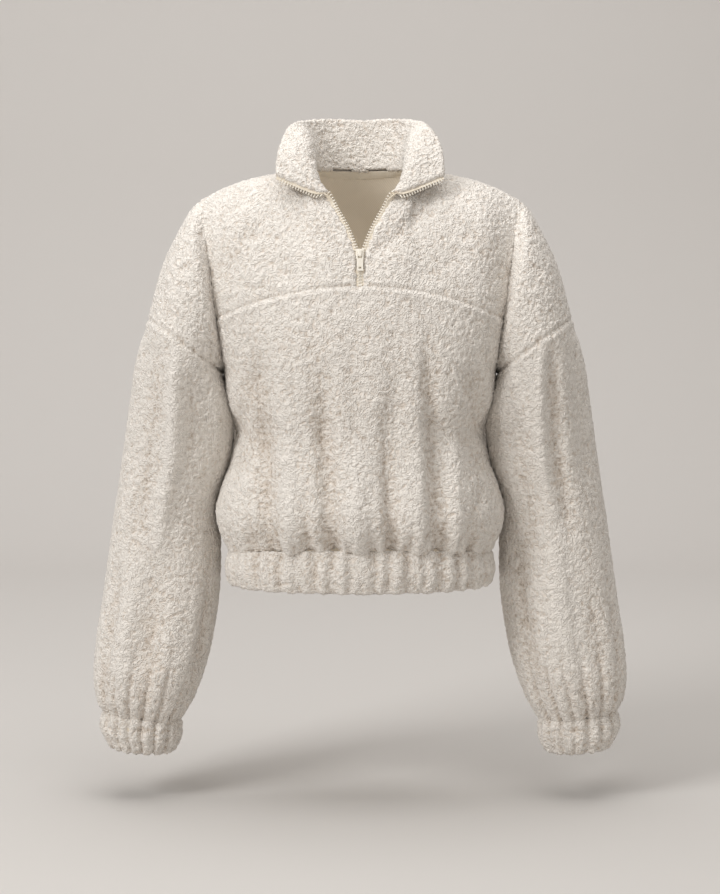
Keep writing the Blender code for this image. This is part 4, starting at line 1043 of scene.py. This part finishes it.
def makeBand():
    turns = np.arange(bandGrid["columns"]) * 360.0 / bandGrid["columns"]
    heights = np.linspace(bandRings[0, 0], bandRings[-1, 0], bandGrid["rows"] + 1)
    z, turn = np.meshgrid(heights, turns, indexing="ij")
    points = bodyRing(bandRings, z, turn)
    down = (bandRings[0, 0] - z) / (bandRings[0, 0] - bandRings[-1, 0])
    relief = -hemGather(points) * (1 - 0.3 * down) + 0.4 * np.sin(np.pi * down)
    relief = relief - gatherDepth(ringTurn(points), bandPleats) * smoothStep(down, 0, 0.3)

    def bothEnds(edge):
        return np.where(edge[:, 2] < -470, 1.8, overlap["reach"])

    return fleeceShell("hem_band_fleece", points, points * (0, 0, 1), tubeEnds(*z.shape), {
        "tube": True, "seams": [(points[0, ::2], 0.6, 0)], "relief": relief, "rim": 1.4, "reach": bothEnds,
        "rimRows": 2,
    })


collarGrid = {"columns": 288, "rows": 56}


# Stand collar with fleece on both faces; its lower edge stands a little off the neck seam
def makeCollar():
    def middleLine(places):
        return collarSurface(places, np.full(places.shape, 0.6))

    end = 2 * form["neckSide"]
    places = evenly(middleLine, -end, end, collarGrid["columns"])
    height, place = np.meshgrid(np.linspace(0.0, 1, collarGrid["rows"] + 1), places, indexing="ij")
    points = collarSurface(place, height)
    points[0] += unit(points[1] - points[0]) * form["collarGap"]
    middle = neckSeam(np.abs(place)) * (0, 0, 1) + (0, 8.0, 20.0)
    soft = 0.9 * softNoise(points, 26.0, 61) + 0.6 * np.sin(place * 21.0) * smoothStep(height, 0.3, 0.9)

    def openEdge(edge):
        return np.where(np.abs(edge[:, 0]) > 99.0, 0.3, 0.9)

    return fleeceShell("collar_fleece", points, middle, rectangle(*height.shape), {
        "coarse": 1, "cloth": form["collarCloth"], "innerPile": True, "relief": soft, "rim": 2.4,
        "seams": [(points[0, ::2], 0.6, 0)], "reach": openEdge, "rimRows": 5,
    })


pieces = {}
for side, word in ((1, "left"), (-1, "right")):
    pieces[f"yoke_{word}"] = makeYoke(side, word)
    pieces[f"sleeve_{word}"] = makeSleeve(side, word)
    pieces[f"cuff_{word}"] = makeCuff(side, word)
pieces["front_body"] = makeFront()
pieces["back_body"] = makeBack()
pieces["hem_band"] = makeBand()
pieces["collar"] = makeCollar()
for node, piece in pieces.items():
    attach(piece, "pullover")
    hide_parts(node)
print("fleece made")


# Quads of a closed mesh, turned round if they face inwards
def facingOut(points, quads):
    a, b, c, d = (points[quads[:, corner]] for corner in range(4))
    volume = np.sum(a * np.cross(b, c)) + np.sum(a * np.cross(c, d))
    return quads[:, ::-1] if volume < 0 else quads


# Closed wall between two grids of the same size, every edge joined by a side face
def plainWall(name, outer, inner, material):
    rows, columns = outer.shape[:2]
    index = gridIndex(rows, columns)
    low = index + rows * columns
    top = np.stack((index[:-1, :-1], index[:-1, 1:], index[1:, 1:], index[1:, :-1]), axis=-1).reshape(-1, 4)
    under = np.stack((low[:-1, :-1], low[1:, :-1], low[1:, 1:], low[:-1, 1:]), axis=-1).reshape(-1, 4)
    path = rectangle(rows, columns)[0]
    a = index[path[:, 0], path[:, 1]]
    b = low[path[:, 0], path[:, 1]]
    rim = np.stack((np.roll(a, -1), a, b, np.roll(b, -1)), axis=1)
    quads = np.concatenate((top, under, rim))
    points = np.concatenate((outer.reshape(-1, 3), inner.reshape(-1, 3)))
    mesh, kept = makeMesh(name, points, facingOut(points, quads))
    mesh.set_sharp_from_angle(angle=math.radians(50))
    return addObject(name, mesh, material)


neckTape = {
    "reach": 0.24, "start": -2.4, "width": 11.5, "offset": 4.3, "thickness": 1.0,
    "columns": 96, "rows": 12,
}


# Tape inside the back of the neck: the top of the back moved in, crowned and lightly rippled
def makeNeckTape():
    across = np.linspace(-neckTape["reach"], neckTape["reach"], neckTape["columns"] + 1)
    low = np.linspace(0, 1, neckTape["rows"] + 1)
    edge = panel(1, across, np.zeros(across.shape))
    under = panel(1, across, np.full(across.shape, 0.03))
    fall = unit(under - edge)
    inward = unit(np.cross(np.gradient(edge, axis=0), fall))
    inward *= -np.sign(np.sum(inward * (edge - (0, 0, edge[0, 2]))))
    points = edge[None] + fall[None] * (neckTape["start"] + low[:, None, None] * neckTape["width"])
    crown = 0.5 * np.sin(np.pi * low)[:, None] ** 0.5 + 0.15 * np.sin(across * 90.0)[None]
    outer = points + inward[None] * (neckTape["offset"] + crown[..., None])
    innerFace = points + inward[None] * (neckTape["offset"] - neckTape["thickness"] + 0.1)
    piece = plainWall("back_neck_tape_band", outer, innerFace, "neckTape")
    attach(piece, "pullover")
    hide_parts("back_neck_tape")


# The fleece's edge beside the zip, the way out of the cloth, half the wall's thickness and the
# length travelled, from the chest seam up to the collar's corner
def zipPath(count):
    seam = float(chestSeamPlace(np.zeros(1), zipped=True)[0])
    down = np.linspace(seam, 0, count)
    height = np.linspace(0, 1, count // 2)
    across = np.zeros(down.shape)
    place = np.full(height.shape, 2 * form["neckSide"])

    def slopeNormal(surface, a, b):
        alongA = surface(a + 1e-3, b) - surface(np.maximum(a - 1e-3, 0), b)
        alongB = surface(a, b + 1e-3) - surface(a, np.maximum(b - 1e-3, 0))
        return unit(np.cross(alongA, alongB))

    def chest(a, b):
        return upperSurface(-1, a, b, zipped=True)

    chestEdge = chest(across, down)
    chestOut = slopeNormal(chest, across, down)
    away = np.sum(chestOut * (chestEdge - bodyCentre(chestEdge)), axis=-1, keepdims=True)
    chestOut = chestOut * np.where(away < 0, -1.0, 1.0)
    collarEdge = collarSurface(place, height)
    collarOut = -slopeNormal(collarSurface, place, height)
    edge = np.concatenate((chestEdge, collarEdge[1:]))
    travelled = travelledAlong(edge)
    corner = travelled[len(down) - 1]
    turned = smoothStep(travelled, corner - zipForm["cornerHeight"], corner + 14)[:, None]
    chestAll = np.concatenate((chestOut, np.repeat(chestOut[-1:], len(height) - 1, axis=0)))
    collarAll = np.concatenate((np.repeat(collarOut[:1], len(down), axis=0), collarOut[1:]))
    out = unit(chestAll * (1 - turned) + collarAll * turned)
    halfWall = form["cloth"] / 2 + (form["collarCloth"] - form["cloth"]) / 2 * turned
    return edge, out, halfWall, travelled


teeth = {
    "pitch": 3.5, "height": 1.65, "head": 2.3, "hold": 2.4, "thickness": 3.0,
    "start": 3.0, "end": 3.0, "neck": 0.62,
}


# One row of moulded teeth: each is an eight-cornered block with a narrow waist, bevelled later
def makeTeeth(side, word):
    edge, out, halfWall, travelled = zipPath(121)
    forward = unit(np.gradient(edge, axis=0))
    beside = unit(np.cross(out, forward))
    tapeEdge = edge - out * halfWall + beside * (zipForm["tapeWidth"] - 0.6)
    shift = 0.0 if side > 0 else teeth["pitch"] / 2
    places = np.arange(teeth["start"] + shift, travelled[-1] - teeth["end"], teeth["pitch"])

    def atPlaces(values):
        return np.stack([np.interp(places, travelled, values[:, n]) for n in range(3)], axis=-1)

    centre, f, o = atPlaces(tapeEdge), unit(atPlaces(forward)), unit(atPlaces(out))
    b = unit(np.cross(o, f))
    # profile seen from the front: sideways place and half height, from the tape to the head
    profile = np.array([(-teeth["hold"], 0.5), (-teeth["hold"] + 0.5, 0.5), (0.1, teeth["neck"] * 0.5),
                        (0.8, 0.34), (1.5, 0.5), (teeth["head"], 0.42)])
    deep = np.array([0.42, 0.5, 0.5, 0.46, 0.48, 0.36])
    corners = []
    for sideways, sign in ((1, 1), (1, -1), (-1, -1), (-1, 1)):
        corners.append(
            b[:, None] * profile[None, :, :1]
            + f[:, None] * (sideways * teeth["height"] * profile[:, 1])[None, :, None]
            + o[:, None] * (sign * teeth["thickness"] * deep)[None, :, None]
        )
    points = centre[:, None, None, :] + np.stack(corners, axis=2)
    count, stations = points.shape[:2]
    index = np.arange(count * stations * 4).reshape(count, stations, 4)
    quads = []
    for corner in range(4):
        nextCorner = (corner + 1) % 4
        quads.append(np.stack((index[:, :-1, corner], index[:, :-1, nextCorner],
                               index[:, 1:, nextCorner], index[:, 1:, corner]), axis=-1).reshape(-1, 4))
    quads.append(index[:, 0, ::-1])
    quads.append(index[:, -1, :])
    quads = np.concatenate(quads)
    flat = points.reshape(-1, 3) * (side, 1, 1)
    mesh, kept = makeMesh(f"zip_teeth_{word}", flat, facingOut(flat, quads))
    piece = addObject(f"zip_teeth_{word}", mesh, "zipResin")
    rounding = piece.modifiers.new("rounded edges", "BEVEL")
    rounding.width = 0.16 * mm
    rounding.segments = 1
    mesh.set_sharp_from_angle(angle=math.radians(40))
    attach(piece, "pullover")


makeNeckTape()
for side, word in ((1, "left"), (-1, "right")):
    makeTeeth(side, word)


# Better material on a node of the frame that stays in view
def repaint(node, material):
    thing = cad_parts[node]
    for number in range(len(thing.material_slots)):
        thing.material_slots[number].material = materials[material]


for word in ("left", "right"):
    repaint(f"zip_tape_{word}", "zipTape")
for node in ("zip_slider", "zip_pull", "zip_bottom_stop"):
    repaint(node, "zipResin")
print("zip made")

studio = {
    "floorZ": -0.765, "front": -6.2, "back": 1.95, "bend": 0.9, "height": 3.2, "half": 5.5,
    "floorColour": (0.60, 0.58, 0.56), "wallColour": (0.735, 0.712, 0.692),
    "change": (0.2, 2.0),  # y where the colour starts and ends its change
    "worldColour": (1.0, 0.945, 0.88), "worldStrength": 0.33,
}


# Floor that bends up into a backdrop: flat, a quarter circle, then a wall
def makeFloor():
    turn = np.linspace(0, math.pi / 2, 24)
    bend, back = studio["bend"], studio["back"]
    y = np.concatenate(((studio["front"],), back + bend * np.sin(turn), (back + bend,)))
    z = np.concatenate(((0,), bend * (1 - np.cos(turn)), (studio["height"],))) + studio["floorZ"]
    x = np.array((-studio["half"], studio["half"]))
    points = np.stack(np.broadcast_arrays(x[None, :], y[:, None], z[:, None]), axis=-1)
    index = gridIndex(len(y), 2)
    quads = np.stack((index[:-1, 0], index[:-1, 1], index[1:, 1], index[1:, 0]), axis=1)
    mesh, kept = makeMesh("studio_floor", points.reshape(-1, 3) / mm, quads)
    material, tree, shader = newMaterial("paleFloor", {"Roughness": 0.95, "Specular IOR Level": 0.1})
    split = addNode(tree, "SeparateXYZ", {0: objectPlace(tree)})
    start, end = studio["change"]
    beyond = addMath(tree, "SUBTRACT", split.outputs["Y"], start)
    far = addMath(tree, "MULTIPLY", beyond, 1 / (end - start), clamp=True)
    colour = addRamp(tree, far, [(0.0, studio["floorColour"]), (1.0, studio["wallColour"])])
    tree.links.new(colour, shader.inputs["Base Color"])
    mesh.materials.append(material)
    floor = addObject("studio_floor", mesh)


# Name: place, aim, width, height, power, colour
lamps = {
    "keyLight": ((-2.35, -2.1, 1.7), (0, 0, -0.25), 1.4, 1.4, 71.0, (1.0, 0.995, 0.985)),
    "fillLight": ((1.2, -3.0, 0.9), (0, 0, -0.35), 2.4, 2.4, 12.0, (1.0, 0.975, 0.94)),
    "topLight": ((0.0, -0.1, 2.2), (0, 0, -0.3), 2.2, 2.2, 46.0, (1.0, 0.99, 0.98)),
    "insideLight": ((0.0, -0.03, -0.20), (0, 0.09, -0.07), 0.12, 0.08, 0.062, (1.0, 0.97, 0.92)),
}


def addLamps():
    for name, (place, aim, width, height, power, colour) in lamps.items():
        data = bpy.data.lights.new(name, "AREA")
        data.shape = "RECTANGLE"
        data.size = width
        data.size_y = height
        data.energy = power
        data.color = colour
        lamp = addObject(name, data)
        direction = unit(np.array(aim) - np.array(place))
        lamp.location = place
        lamp.rotation_euler = (math.acos(-direction[2]), 0, math.atan2(-direction[0], direction[1]))
    world = bpy.data.worlds.new("studio")
    world.use_nodes = True
    background = world.node_tree.nodes["Background"]
    background.inputs["Color"].default_value = (*studio["worldColour"], 1.0)
    background.inputs["Strength"].default_value = studio["worldStrength"]
    bpy.context.scene.world = world


# The camera stands in front of its target, raised by a few degrees and looking down at it
view = {"target": (0.0, 0.0, -0.329), "distance": 2.575, "rise": 5.0, "lens": 85.0}


def addCamera():
    data = bpy.data.cameras.new("camera")
    data.lens = view["lens"]
    data.sensor_width = 36.0
    data.sensor_fit = "AUTO"
    camera = addObject("camera", data)
    rise = math.radians(view["rise"])
    x, y, z = view["target"]
    camera.location = (x, y - view["distance"] * math.cos(rise), z + view["distance"] * math.sin(rise))
    camera.rotation_euler = (math.pi / 2 - rise, 0, 0)
    bpy.context.scene.camera = camera


makeFloor()
addLamps()
addCamera()
bpy.context.scene.view_settings.view_transform = "Standard"
print("studio made")
